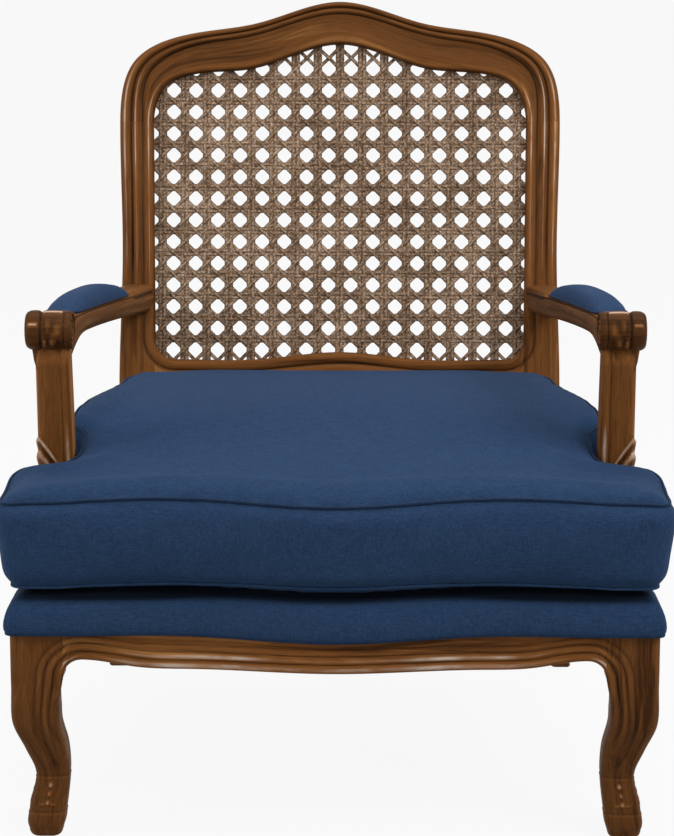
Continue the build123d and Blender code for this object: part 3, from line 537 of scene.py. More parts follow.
def on_back(across, up, depth):
    """World place of a point of the raked back, depth counted forward from its face."""
    up = np.asarray(up, float)
    y = back_y + up * sin(rake) - depth * cos(rake)
    z = bend_height + up * cos(rake) + depth * sin(rake)
    return places(across, y, z)


def backed(across, depth, shade, back):
    """Section of a member's face continued round its plain back."""
    back = np.array(back)
    return (np.concatenate([across, back[:, 0]]), np.concatenate([depth, back[:, 1]]),
            np.concatenate([shade, np.zeros(len(back))]))


# Moulded section of the back frame: three reeds counted from its outer edge, and a bead from the opening
outer_at = np.array([0, 1, 2.2, 4, 6.5, 9, 11.5, 13.2, 14.4, 15.2, 16, 17.2, 19, 21, 23, 25, 27, 28.8, 30, 31,
                     32, 33.4])
outer_rise = np.array([-5, -3, -1.7, -.6, -.1, 0, -.5, -1.5, -2.8, -3.7, -2.8, -1.8, -1.1, -.8, -.8, -1.1,
                       -1.7, -2.6, -3.6, -4.5, -3.6, -2.9])
# Painted shade across the outer reeds: darker in the grooves, lighter on the reeds' crowns.
outer_shade = np.array([.3, .1, -.1, -.25, -.35, -.3, -.05, .2, .55, .75, .55, .2, -.1, -.3, -.3, -.1, .1, .3,
                        .6, .75, .5, .2])
edge_at = np.array([0, .8, 1.8, 3.2, 5, 7, 9, 11, 13, 14.2, 15, 15.8, 17, 19, 22])
edge_rise = np.array([-6.5, -4.6, -3.4, -2.6, -2.1, -2, -2.1, -2.4, -3, -3.8, -4.5, -3.8, -2.8, -1.8, -1.2])
# Painted shade along the bead by the opening, darker in its grooves and lighter on its crowns.
edge_shade = np.array([.6, .3, .1, -.15, -.3, -.3, -.2, 0, .3, .55, .75, .55, .2, -.1, -.2])
inner_at = np.array([11, 9, 7, 5, 3.2, 1.8, .8, 0])
plain_at = np.array([0, 1, 2.2, 4, 6])
plain_rise = np.array([-5, -3, -1.6, -.5, 0])
full_width = 46.0
field_rise = -2.6
band_rise = -2.8
band_share = np.linspace(0, 1, 6)[1:-1]
# Ridges get painted highlight lines, quirks painted shade lines.
ridges = (6.5, 21.0, 39.0)
quirks = (3.2, 18.0, 27.0)
off_lines = 50.0
lip_depth = -13.2
arris = 1.4
arris_depth = -34.6


def moulded(width, carved=1.0, opening=None, step=rabbet, reeded=1.0, squeeze=1.0, bead=1.0, painted_highlight=0.0):
    """Section of a member round from its outer front edge: place across from that edge, depth and painted
    shade.
    """
    k = min(1.0, width / full_width)
    first = outer_at * k * squeeze
    last = width - inner_at * k
    across = np.concatenate([first, first[-1] + (last[0] - first[-1]) * band_share, last])
    smooth_edge = np.interp(outer_at, plain_at, plain_rise) + field_rise * ease(outer_at, 4, 30)
    inner_rise = np.interp(inner_at, edge_at, edge_rise)
    inner_rise = np.where(inner_at > 3, field_rise + (inner_rise - field_rise) * bead, inner_rise)
    hollow = band_rise - 1.4 * (1 - bead) * np.sin(pi * band_share)
    rise = np.concatenate([smooth_edge + (outer_rise - smooth_edge) * reeded, hollow, inner_rise])
    inner_shade = np.interp(inner_at, edge_at, edge_shade)
    shade = np.concatenate([outer_shade * reeded, np.zeros_like(band_share), inner_shade])
    if opening is not None:
        gap = opening(across)
        near = across > full_width / 2 * k
        rise = np.where(near, np.interp(gap, edge_at, edge_rise), rise)
        shade = np.where(near, np.interp(gap, edge_at, edge_shade), shade)
    q = np.concatenate([outer_at, np.full_like(band_share, off_lines), full_width - inner_at])
    # Painted shade lines at the quirks and painted highlight lines on the ridges.
    shade = shade + reeded * (0.3 * lines_near(quirks, q, 0.9) - painted_highlight * lines_near(ridges, q, 1.1))
    plain = np.interp(np.minimum(across, width - across) / k, plain_at, plain_rise)
    rise = plain + (rise - plain) * carved
    inner = width - step
    back = ((width, lip_depth), (width, -cane_depth), (inner, -cane_depth), (inner, arris_depth),
            (inner - arris, -back_thick), (0.7 * width, -back_thick), (0.45 * width, -back_thick),
            (0.2 * width, -back_thick), (5 * k, -back_thick), (1.5 * k, -34.8), (0, -31), (0, -18))
    return backed(across, rise, shade * carved, back)


# Crest rail
crest_half = ((half_back, joint_height), (283.5, 442.5), (207, 481), (112, 496.5), (0, 525.5))
arch_half = ((stile_inner + opening_spread, joint_height), (240, 409), (205, 426), (123, 434), (55, 456),
             (0, 468))
crest_line = clamped(mirrored(crest_half), (0, 1), (0, -1))
arch_line = clamped(mirrored(arch_half), (0, 1), (0, -1))
crest_length, arch_length = crest_line[0][-1], arch_line[0][-1]
crest_keys = crest_line[0][:5]
arch_keys = arch_line[0][[0, 1, 2, 3, 5]] * (1, 0.91, 1, 1, 1)
stile_tone = 0.1


def crest_rows():
    """Rings of the crest rail from stile to stile, its reeds drawn together towards the middle."""
    where = np.linspace(0, crest_length, 221)
    half_way = np.minimum(where, crest_length - where)
    arch_where = np.interp(half_way, crest_keys, arch_keys)
    arch_where = np.where(where <= crest_length / 2, arch_where, arch_length - arch_where)
    rows = []
    for outer, inner, run in zip(at(crest_line, where), at(arch_line, arch_where), half_way):
        width = np.linalg.norm(inner - outer)
        flat = ease(run, 20, 210)
        # Painted highlights on the ridges, strongest where the crest meets the stiles.
        across, rise, shade = moulded(width, squeeze=1 - 0.46 * flat, bead=1 - 0.85 * flat,
                                      painted_highlight=0.95 * (1 - ease(run, 50, 150)))
        x, up = (outer + (inner - outer) / width * across[:, None]).T
        rows.append((on_back(x, up, rise), shade + stile_tone + 0.22 * ease(run, 0, 90)))
    return rows


wooden("crest_rail_moulded", crest_rows(), "crest_rail")

# Back stiles with the rear legs below them, their lines given as height and place
rear_leg_top = 170.0
rear_leg_top_depth = 38.0
sole_radius = 8.0
no_step = 0.05
stile_edge = along(((0, half_back), (180, 298), (joint_height, half_back)), (1, 0), (1, 0), 80)
bend_rear_y = back_y + back_thick * cos(rake)
bend_rear_z = bend_height - back_thick * sin(rake)


def rear_leg_line(top, knee, foot):
    return along(((rear_leg_top, top), (62, knee), (0, foot)), (-1, 0), (-1, 0.3), 60)


rear_leg_outer = rear_leg_line(half_back, 305, 334.5)
rear_leg_inner = rear_leg_line(stile_inner, 270, 304.5)
rear_leg_front = rear_leg_line(back_y, back_y + 34, back_y + 68)
rear_leg_back = rear_leg_line(back_y + rear_leg_top_depth, back_y + 69, back_y + 98)


def opening_edge(s):
    """Half width of the opening above its lower corners."""
    return stile_inner + opening_spread * max(0, s - corner_up) / (joint_height - corner_up)


def opening_gap(x, s):
    """Distance from the opening's edge, for points of a stile."""
    if s >= corner_up:
        return x - opening_edge(s)
    return np.hypot(x - corner_across, corner_up - s) - corner_turn


def stile_rows():
    """Rings of the right stile from the crest rail down to the floor."""
    rows = []
    for s in spread((joint_height, 80, 40), (76, 22, 30), (18, 0, 5)):
        outer_x = np.interp(s, *stile_edge.T)
        step = rabbet
        if s < corner_up:
            step = max(half_chord(corner_turn + rabbet, corner_up - s) - corner_turn, no_step)
        # Painted highlights on the ridges, stronger towards the top of the stile.
        across, rise, shade = moulded(outer_x - opening_edge(s), step=step,
                                      opening=lambda a: opening_gap(outer_x - a, s),
                                      reeded=0.22 + 0.78 * ease(s, 95, 190),
                                      painted_highlight=0.5 + 0.45 * ease(s, 250, 350))
        rows.append((on_back(outer_x - across, s, rise), shade))
    for z in spread((412, 180, 24), (rear_leg_top, 9, 38), [7, 5, 3.4, 2, 1, 0.4, 0]):
        outer_x = follow(rear_leg_outer, z)
        width = outer_x - follow(rear_leg_inner, z)
        front = follow(rear_leg_front, z)
        rear = follow(rear_leg_back, z)
        if z > rear_leg_top:
            rear = np.interp(z, (rear_leg_top, bend_rear_z), (back_y + rear_leg_top_depth, bend_rear_y))
        shrink = 1.0
        if z < sole_radius:
            shrink = 1 - (1 - half_chord(1, 1 - z / sole_radius)) / 3
        across, rise, shade = moulded(width, ease(z, 300, 400), opening=lambda a: np.full(len(a), 99.0),
                                      step=no_step, reeded=0.22)
        across = width / 2 + (across - width / 2) * shrink
        y = front - rise / back_thick * (rear - front)
        y = (front + rear) / 2 + (y - (front + rear) / 2) * shrink
        rows.append((places(outer_x - across, y, z), shade))
    return rows


wooden_pair("back_stile_moulded", stile_rows(), "back_stile", stile_tone)

# Lower back rail, its bead following the opening's rounded corners
low_half = ((corner_across, opening_low), (corner_across / 2, opening_low), (0, opening_low + 10))
low_line = along(mirrored(low_half), (-1, 0), (-1, 0), 121)
rail_drop = np.concatenate([edge_at, [26, 32, 38, 44]])


def lower_rail_rows():
    rows = []
    for x in spread((stile_inner, corner_across, 30), (corner_across - 3, 3 - corner_across, 90),
                    (-corner_across, -stile_inner, 30)):
        beyond = max(abs(x) - corner_across, 0)
        edge = follow(low_line, x)
        ledge = edge - rabbet
        if beyond:
            edge = corner_up - half_chord(corner_turn, beyond)
            ledge = corner_up - half_chord(corner_turn + rabbet, beyond)
        s = np.concatenate([edge - rail_drop, [back_rail_low + 5, back_rail_low + 1.5, back_rail_low]])
        s = np.maximum(s, back_rail_low)
        gap = np.hypot(beyond, corner_up - s) - corner_turn if beyond else edge - s
        rise = np.interp(gap, edge_at, edge_rise)
        rise[-2:] -= (1.5, 4)
        back = ((back_rail_low, -18), (back_rail_low, -33), (back_rail_low + 3, -back_thick),
                (0, -back_thick), (ledge - arris, -back_thick), (ledge, arris_depth), (ledge, -cane_depth),
                (edge, -cane_depth), (edge, lip_depth))
        # Painted shade and highlights along the bead, from the opening's table.
        s, rise, shade = backed(s, rise, np.interp(gap, edge_at, edge_shade), back)
        rows.append((on_back(x, s, rise), shade))
    return rows


wooden("lower_back_rail_moulded", lower_rail_rows(), "lower_back_rail")

# Reeds along the lower edge of the seat rails, turning down the legs
reed_at = np.array([0, 1, 2.2, 4, 6, 8, 9.6, 10.8, 12, 14, 16, 18, 19.4, 20.6, 21.8, 24, 26.5, 28, 29.2,
                    30.4, 33])
reed_rise = np.array([-4, -2.2, -1.1, -.3, 0, -.3, -1.2, -2.9, -1.5, -.7, -.5, -.9, -1.8, -3.1, -2.0, -1.3,
                      -1.4, -2.0, -2.9, -2.2, -1.9])
# Painted shade in the reeds' grooves and painted highlights on their crowns.
reed_shade = np.array([.4, .1, -.15, -.4, -.45, -.2, .2, .65, .2, -.25, -.35, -.1, .25, .65, .2, -.2, -.2, .2,
                       .55, .2, 0])
reed_crowns = (5, 15.5)
face_drop = np.concatenate([reed_at, [36, 39, 42, 46, 50]])
top_step = 0.02 * np.arange(len(face_drop))[::-1]
rail_arris = 2.0
rail_sole = 9.0

leg_heights = (0, 9, 36, 74, 106, 140, 184, 262)
leg_size = table(leg_heights, (28, 39, 43, 40, 50, 57, 58, 58))
leg_set_in = table(leg_heights, (2, 2, 5, 12, 8, 0, 0, 0))
leg_across = half_seat - leg_block / 2
leg_middle_y = front_y + leg_block / 2
leg_drop = np.linspace(184, 60, 26)
front_bracket = 21.0
apron_end = rail_low + apron_lift
bracket_low = apron_end - bracket
front_bracket_low = apron_end - front_bracket
bracket_end = rail_end - front_bracket
front_turn = block_back_y + bracket
rear_turn = back_y - bracket

apron_half = ((bracket_end, apron_end), (228, rail_low - 6), (bow_quarter, rail_low - 8.2),
              (0, rail_low - apron_dip - 1))
apron_edge = along(mirrored(apron_half), (-1, 0), (-1, 0), 161)
bow_half = ((rail_end, 0), (bow_quarter, front_hollow), (0, -front_bow))
front_edge = along(mirrored(bow_half), (-1, 0), (-1, 0), 161)
leg_inner_edge = places(leg_across - leg_set_in(leg_drop) - leg_size(leg_drop) / 2, leg_drop)
leg_rear_edge = places(leg_middle_y + leg_set_in(leg_drop) + leg_size(leg_drop) / 2, leg_drop)
reed_line = np.vstack([apron_edge[:len(apron_edge) // 2 + 1][::-1],
                       arc(bracket_end, front_bracket_low, front_bracket, 90, 0, 16), leg_inner_edge])
side_reed_line = np.vstack([[(rear_turn - apron_lift, rail_low), (front_turn + apron_lift, rail_low)],
                            arc(front_turn, bracket_low, bracket, 90, 180, 16), leg_rear_edge])


def reeds(gap):
    return np.interp(gap, reed_at, reed_rise), np.interp(gap, reed_at, reed_shade)


def glint(x, z, gap):
    """Painted highlight lines on the crowns of the reeds where they turn down the leg."""
    return 0.95 * bell(x, 305, 17) * bell(z, 218, 11) * lines_near(reed_crowns, gap, 1.6)


def rail_face(low, place, line):
    """Heights up a rail's face and their gaps from the reeds' line."""
    z = np.minimum(low + face_drop, rail_top - top_step)
    return z, distance(places(place, z), line)


def rail_section(low, face, inner, z, rise, shade):
    """Whole section of a rail as places, heights and painted shade: its face with the reeds, then round its
    back.
    """
    way = np.sign(inner - face)
    back = ((inner, rail_top), (inner, low + rail_arris), (inner - way * rail_arris, low),
            (face + way * rail_sole, low))
    return backed(face - way * rise, z, shade, back)


# Front seat rail

def front_rail_rows():
    rows = []
    for x in spread((rail_end, bracket_end, 26), (bracket_end - 3, 3 - bracket_end, 150),
                    (-bracket_end, -rail_end, 26)):
        off = abs(x)
        low = follow(apron_edge, x)
        if off > bracket_end:
            low = front_bracket_low + half_chord(front_bracket, off - bracket_end)
        front = front_y + follow(front_edge, x)
        z, gap = rail_face(low, off, reed_line)
        rise, shade = reeds(gap)
        # Painted highlight lines on the reeds' crowns along both halves of the apron, and the glint by the
        # legs.
        painted_highlight_share = ease(off, 65, 110) * (1 - ease(off, 180, 220))
        shade = shade - glint(off, z, gap) - 0.55 * painted_highlight_share * lines_near(reed_crowns, gap, 2.2)
        shade = shade - 0.3 + 0.48 * ease(off, 225, rail_end)
        inner = max(front_y + front_rail_thick, front + 26)
        y, z, shade = rail_section(low, front, inner, z, rise, shade)
        rows.append((places(x, y, z), shade))
    return rows


wooden("front_seat_rail_moulded", front_rail_rows(), "front_seat_rail")


# Side seat rails

def side_rail_outer(y):
    return 365.0 - 65.0 * (y - block_back_y) / (back_y - block_back_y)


def side_rail_inner(y):
    return side_rail_outer(y) - side_rail_thick


def side_rail_rows():
    """Rings of the right rail from the front leg to the stile, with a bracket at both ends."""
    rows = []
    for y in spread((block_back_y, front_turn, 22), (front_turn + 3, rear_turn - 3, 70),
                    (rear_turn, back_y, 22)):
        beyond = max(front_turn - y, y - rear_turn)
        if beyond > 0:
            low = bracket_low + half_chord(bracket, beyond)
        else:
            low = apron_end - apron_lift * ease(-beyond, 0, 20)
        z, gap = rail_face(low, y if y < 0 else block_back_y + back_y - y, side_reed_line)
        rise, shade = reeds(gap)
        x, z, shade = rail_section(low, side_rail_outer(y), side_rail_inner(y), z, rise, shade)
        rows.append((places(x, y, z), shade))
    return rows


wooden_pair("side_seat_rail_moulded", side_rail_rows(), "side_seat_rail", 0.1)


# Front legs, the drops of their husks given as place, height, half sizes across and up, and rise
husk_drops = ((0, 62, 3.8, 4.4, 1.6), (0, 52, 3.0, 3.8, 1.4), (0, 42, 3.6, 3.8, 1.5),
              (-6, 40.5, 4.2, 2.6, 1.1), (6, 40.5, 4.2, 2.6, 1.1))


def husk(u, z):
    """Three small carved drops down the middle of a face, the lowest with two wings, as a rise over it."""
    rise = np.zeros(len(u))
    for place, height, half_u, half_z, lift in husk_drops:
        lobe = 1 - ((u - place) / half_u) ** 2 - ((z - height) / half_z) ** 2
        rise = np.maximum(rise, lift * np.clip(lobe, 0, 1) ** 0.6)
    return rise


outer_shift = table((0, 30, 74, 110, 150, 262), (0, 0, 1.4, 2.6, 4, 4))
inner_shift = table((0, 30, 74, 110, 150, 176, 197, 262), (0, 0, 2.2, 4.4, 5.6, 3.2, 0, 0))
foot_sole = 28.0
foot_swell = 11.0
foot_turn = 9.0
foot_lines = (31, 72)
foot_lips = (28.4, 69.4)


def leg_ring(z):
    """Ring of the right front leg at a height, with its painted shade: reeds above, husks and rings at the
    foot.
    """
    size = leg_size(z)
    set_in = leg_set_in(z)
    if z < foot_turn:
        size = foot_sole + foot_swell * half_chord(1, 1 - z / foot_turn)
    turn = np.interp(z, (60, 165, 191), (size * 0.3, size * 0.24, 9))
    flush = np.interp(z, (164, 197), (turn, 0.3))
    hidden = np.interp(z, (160, 191), (size * 0.42, 0.3))
    points, ways = rounded(size, size, (flush, turn, flush, hidden), side_points=44)
    if flush < 2:
        ways[points[:, 1] < 0.4 - size / 2] = (0, -1)
        ways[points[:, 0] > size / 2 - 0.4] = (1, 0)
    front_share = np.clip(-ways[:, 1], 0, 1) ** 1.5
    side_share = np.clip(ways[:, 0], 0, 1) ** 1.5
    middle_x = leg_across - set_in
    middle_y = leg_middle_y + set_in
    front_gap = distance(places(middle_x + points[:, 0], z), reed_line)
    rise_front, shade_front = reeds(front_gap)
    shade_front = shade_front - glint(middle_x + points[:, 0], z, front_gap)
    rise_side, shade_side = reeds(distance(places(middle_y + points[:, 1], z), side_reed_line))
    fade = 0.75 * ease(z, 84, 170) + 0.25 * ease(z, 170, 196)
    ridge = 1.6 * bell(z, 128, 46) * np.clip((ways[:, 0] - ways[:, 1]) / sqrt(2), 0, 1) ** 6
    carve = front_share * husk(points[:, 0], z) + 0.5 * side_share * husk(-points[:, 1], z)
    line = lines_near(foot_lines, z, 1.3)
    lip = lines_near(foot_lips, z, 1.2)
    rise = fade * (front_share * rise_front + side_share * rise_side)
    rise = rise + ridge + carve - 0.5 * line + 0.45 * lip
    # Painted shade at the foot's rings and round the foot of each drop; painted highlights on the lips and
    # the drops' crowns.
    shade = fade * (front_share * shade_front + side_share * shade_side) + 0.2 * line - 0.3 * lip
    shade = shade - 1.2 * np.clip(carve - 0.5, 0, 1) + 0.35 * bell(carve, 0.3, 0.25)
    out = points + ways * rise[:, None]
    outward = np.clip(out[:, 0] / size + 0.5, 0, 1)
    behind = np.clip(points[:, 1] / size + 0.5, 0, 1)
    inner_set = inner_shift(z) + 7.5 * ease(z, 150, 182) * (1 - ease(z, 206, 218)) * behind
    x = middle_x + out[:, 0] + outer_shift(z) * outward + inner_set * (1 - outward)
    tone = 0.42 - 0.26 * ease(z, 150, 240)
    return places(x, middle_y + out[:, 1], z), np.clip(shade, -1.3, 1) + tone


leg_stations = spread((262, 192, 24), (190, 78, 76), (76, 26, 52), (25, 3, 16), [1.5, 0.6, 0])
wooden_pair("front_leg_carved", [leg_ring(z) for z in leg_stations], "front_leg")

# Arm posts with a leaf carved round the foot
post_base = 44.0
post_middle_y = front_y + 142 + post_base / 2
post_middle_x = side_rail_outer(post_middle_y) - 23
post_head_x = 323.0
post_head_y = front_y + 96 + 19
post_top = 566.0
post_turns = (6, 11, 8, 6)
leaf_top = 452.0
leaf_pitch = 20.72


def post_ring(z):
    """Ring of the right post at a height, with its painted shade and highlights: a bead up the inner edge and
    the leaf's veins.
    """
    share = (z - rail_top) / (post_top - rail_top)
    lean = share ** 2.4
    tuck = 11 * ease(z, 540, 566)
    size_u = post_base - 5 * share
    size_w = post_base - 6 * share - tuck
    middle_x = post_middle_x + (post_head_x - post_middle_x) * lean + 3.2 * ease(z, 330, 430)
    middle_y = post_middle_y + (post_head_y - post_middle_y) * lean + tuck / 2
    points, ways = rounded(size_u, size_w, post_turns)
    on_front = ways[:, 1] < -0.7
    leafy = (ways[:, 0] - ways[:, 1]) / sqrt(2) > cos(radians(100))
    reach = np.where(on_front, size_u / 2 - points[:, 0], points[:, 1] + size_w / 2)
    tip = leaf_top - np.maximum(reach - 4, 0) * np.where(on_front, 1.5, 1.05)
    cover = ease(tip - z, 0, 3) * leafy
    vein = np.cos(2 * pi * (tip - z) / leaf_pitch - 0.8)
    bead = bell(size_u - reach, 5, 2.4) * on_front * ease(z, 300, 340)
    groove = 1.1 * bell(size_u - reach, 10, 1.4) * on_front * (1 - cover)
    # Painted highlights on the veins' crowns and the bead, weaker on the outer face; painted shade between
    # the veins, under the leaf's tip and in the groove.
    painted_highlight = (0.35 + 1.05 * ease(z, 408, 438)) * (1 - 0.45 * np.clip(ways[:, 0], 0, 1))
    shade = cover * np.where(vein > 0.3, -painted_highlight, np.clip(-1.2 * vein, -0.2, 1))
    shade = shade + 0.6 * bell(z, tip, 1.8) * leafy
    shade = shade + 0.45 * (groove > 0.6) - bead * (0.9 - 0.6 * ease(z, 440, 480))
    out = points + ways * (cover * (1.1 + 1.3 * vein) + 0.5 * bead - groove)[:, None]
    return places(middle_x + out[:, 0], middle_y + out[:, 1], z), np.clip(shade, -1.35, 1)


post_stations = spread((262, 395, 24), (398, 466, 60), (470, 568, 44))
wooden_pair("arm_post_carved", [post_ring(z) for z in post_stations], "arm_post", -0.13)

# Arms, with a groove along both sides and a scroll at the front
arm_tall = 39.0
arm_rear_z = 543.0
arm_climb = 37.0
arm_rear_x = 276.0
arm_sweep = 53.0
arm_half_width = 21.5
arm_front_y = front_y + 114
arm_rear_y = back_y + (arm_rear_z + arm_tall - bend_height) * tan(rake)
arm_in_stile = 5.0
pad_front_y = front_y + 186
pad_rear_y = front_y + 488
pad_seat = 12.5
arm_tone = 0.4
scroll_tone = 0.8


def arm_share(y):
    return (arm_rear_y - y) / (arm_rear_y - arm_front_y)


def arm_across(y):
    return arm_rear_x + arm_sweep * np.sin(pi / 2 * arm_share(y))


def arm_middle(y):
    return arm_rear_z + arm_climb * arm_share(y)


# Half sections of an arm as shares of its half width, with the drop and painted shade of its top and the
# depth below
arm_over = np.array([(0, 0, 0), (.3, .05, 0), (.55, .22, 0), (.74, .5, -.1), (.86, .85, -.3),
                     (.94, 1.4, -.35), (.975, 2.1, -.2), (.985, 2.8, 0), (.955, 3.5, .7), (.93, 3.9, 1),
                     (.955, 4.3, .7), (.99, 5, -.1), (1, 6, -.3)])
arm_under = np.array([(1, -.02), (.985, -.2), (.95, -.42), (.87, -.65), (.74, -.84), (.55, -.95),
                      (.3, -.995)])


def arm_rows(side):
    """Rings of an arm from the stile to its scroll, lower under the pad and deeper by the post."""
    rows = []
    for y in spread((252, 160, 24), (158, -140, 60), (-144, -228, 30)):
        tall = arm_tall - 6 * sin(pi * min(arm_share(y), 1))
        crowned = ease(y, pad_rear_y + 2, pad_rear_y + 14) + 1 - ease(y, pad_front_y - 16, pad_front_y - 2)
        top = pad_seat + (tall / 2 - pad_seat) * crowned
        bottom = tall / 2 + 35 * (1 - ease(y, -216, -62)) ** 1.5
        over_v = np.maximum(top - 2.1 * arm_over[:, 1] * (0.35 + 0.95 * crowned), -1)
        u = np.concatenate([arm_over[:, 0], arm_under[:, 0]]) * arm_half_width
        v = np.concatenate([over_v, arm_under[:, 1] * bottom])
        shade = np.concatenate([arm_over[:, 2], np.zeros(len(arm_under))])
        u = np.concatenate([u, [0], -u[:0:-1]])
        v = np.concatenate([v, [-bottom], v[:0:-1]])
        shade = np.concatenate([shade, [0], shade[:0:-1]])
        z = arm_middle(y) + v
        in_stile = back_y + (z - bend_height) * tan(rake) + arm_in_stile
        ring_y = np.minimum(y + v * tan(rake) * ease(y, 120, 225), in_stile)
        rows.append((places(side * (arm_across(y) + u), ring_y, z), shade + arm_tone))
    return rows


# Scroll: places across it with their radii, and its spiral ends
scroll_body = np.array([(-26.6, 19.6), (-25.2, 21.4), (-23, 22.4), (-20.5, 22.5), (-19, 21.8), (-18, 21),
                        (-17, 21.6), (-15.4, 22.4), (-11, 22.8), (-5, 23), (0, 23), (4, 22.8), (6.4, 22.3),
                        (7.7, 21.2), (8.6, 20.4), (9.5, 21.2), (10.8, 22.3), (13, 22.9), (17, 23),
                        (21, 22.6), (24, 21.4), (25.6, 20.2), (26.6, 18.8)])
scroll_cuts = (-18, 8.6)
cap_radius = 18.6
cap_out = 24.8
spiral_pitch = 6.2
scroll_turn = np.linspace(0, 2 * pi, 96, endpoint=False)


def scroll_end(side, way):
    """Rows of a scroll's end from its middle outward: place across, radius and painted shade."""
    rows = []
    for r in spread((0.8, 17.5, 26), [cap_radius]):
        wave = np.cos(2 * pi * r / spiral_pitch - way * side * scroll_turn)
        flat = min((cap_radius - r) / 3, 1)
        out = cap_out + 0.9 * wave * flat * (0.35 + 0.65 * min(r / 5, 1)) + 0.8 * (1 - r / cap_radius)
        rows.append((way * out, r, np.clip(-wave, -0.35, 1) * flat))
    return rows


def scroll_rows(side):
    """Rings across a scroll, its middle fluted in front, with painted highlights on top and on its outer
    bead.
    """
    # Painted shade in the two cuts across the scroll.
    body = [(a, r, 0.9 * any(abs(a - cut) < 1 for cut in scroll_cuts)) for a, r in scroll_body]
    rows = []
    for a, r, shade in scroll_end(side, -1) + body + scroll_end(side, 1)[::-1]:
        window = np.clip(np.cos(scroll_turn - radians(198)), 0, 1) ** 2 * (np.abs(a + 5) < 10)
        flute = np.cos(2 * pi * (a + 5 + 5 * (scroll_turn - radians(208))) / 9.5)
        # Painted shade in the flutes and painted highlights on their crowns, on the top and along the outer
        # bead.
        shade = shade + window * (np.clip(-flute, -0.4, 1) * 0.7 - 0.9 * (flute > 0.75))
        shade = shade - 1.9 * bell(scroll_turn, radians(102), radians(11)) * (np.abs(a + 5) < 12)
        shade = shade - 1.9 * bell(scroll_turn, radians(154), radians(5)) * (np.abs(a - 17) < 6)
        r = r + window * 1.4 * flute
        y = arm_front_y + r * np.cos(scroll_turn)
        z = arm_middle(arm_front_y) + r * np.sin(scroll_turn)
        rows.append((places(side * (arm_rear_x + arm_sweep + a), y, z), shade + scroll_tone))
    return rows


for side, hand in sides:
    arm, arm_shades = zip(*arm_rows(side))
    scroll, scroll_shades = zip(*scroll_rows(side))
    piece(f"arm_carved_{hand}", joined([loft(arm), loft(scroll)]), walnut,
          tone_and_painted_shade=np.concatenate(arm_shades + scroll_shades), grain=np.vstack([flow(arm), flow(scroll)]),
          replaces=[f"arm_{hand}"])

# Cane: pairs of upright and level strands with two sets of slanted ones woven through them
pitch_x, pitch_s = 30.5, 29.8
upright_half, level_half, slant_half = 2.95, 2.55, 2.4
row_zero = 47.4 - pitch_s / 2
cane_lead = 6.6
cane_step = 2.4
strand_u = np.array([-1, -.72, 0, .72, 1, .72, 0, -.72])
strand_d = np.array([0, .42, .62, .42, 0, -.3, -.42, -.3])
# Painted shade round each strand: darkest at its edges, a little lighter along the middle of its top.
strand_shade = np.array([1, .4, -.4, .4, 1, .5, .4, .5])
slant_reach = 20


def opening_loop(grow):
    """Outline of the caned opening, grown evenly."""
    arch = at(arch_line, np.linspace(0, arch_length, 161))
    way = unit(np.gradient(arch, axis=0))
    arch = arch + grow * places(way[:, 1], -way[:, 0])
    left = arc(-corner_across, corner_up, corner_turn + grow, 180, 270, 12)
    right = arc(corner_across, corner_up, corner_turn + grow, 270, 360, 12)
    return np.vstack([arch, left, low_line[::-1] - (0, grow), right])


cane_loop = opening_loop(cane_lead)
cane_skins, cane_shades = [], []


def strand(start, end, half, wave):
    """One strand of the cane, kept where it lies inside the opening; wave gives its over and under."""
    start = np.asarray(start, float)
    end = np.asarray(end, float)
    length = np.linalg.norm(end - start)
    count = int(length / cane_step)
    line = start + (end - start) * np.linspace(0, 1, count)[:, None]
    kept = inside(line, cane_loop)
    way = (end - start) / length
    across = half * strand_u[:, None] * (way[1], -way[0])
    for run in np.split(np.arange(count), np.flatnonzero(np.diff(kept.astype(int))) + 1):
        if not kept[run[0]] or len(run) < 3:
            continue
        depths = wave(*line[run].T)
        rings = [on_back(*(p + across).T, d + strand_d - cane_depth - 1.0) for p, d in zip(line[run], depths)]
        cane_skins.append(loft(rings))
        cane_shades.append(np.tile(strand_shade, len(run)))


def weave(place, pitch, half, way):
    """Over and under of a strand where it crosses the pairs at a pitch."""
    u = place - pitch * np.round(place / pitch)
    return -way * 0.62 * np.sin(pi * u / (2 * half)) * (np.abs(u) < 2 * half)


for column in range(-8, 9):
    for way in (-1, 1):
        x = column * pitch_x + way * upright_half
        strand((x, 20), (x, 480), upright_half, lambda x, s: weave(s - row_zero, pitch_s, level_half, -way))
for row in range(1, 14):
    for way in (-1, 1):
        s = row_zero + row * pitch_s + way * level_half
        strand((-270, s), (270, s), level_half, lambda x, s: weave(x, pitch_x, upright_half, way))
for offset in range(-26, 27):
    for way in (-1, 1):
        middle = np.array([offset * pitch_x, row_zero + 0.5 * pitch_s])
        reach = slant_reach * np.array([way * pitch_x, pitch_s])
        strand(middle - reach, middle + reach, slant_half,
               lambda x, s: way * 1.25 * np.cos(2 * pi * x / pitch_x))
piece("cane_woven", joined(cane_skins), cane, tone_and_painted_shade=np.concatenate(cane_shades), sharp=80,
      replaces=["cane_panel"], clean=False)


# Upholstery

def plan_front(half, forward, count):
    """Serpentine front line from right to left."""
    points = ((half, front_y - forward), (bow_quarter, front_y + front_hollow - forward),
              (0, front_y - front_bow - forward))
    return along(mirrored(points), (-1, 0), (-1, 0), count)


cushion_half = 380.0
cushion_corner = 26.0
cushion_rear_half = 290.0
cushion_rear_corner = 70.0
side_swell = 25.0
post_inner = post_middle_x - post_base / 2


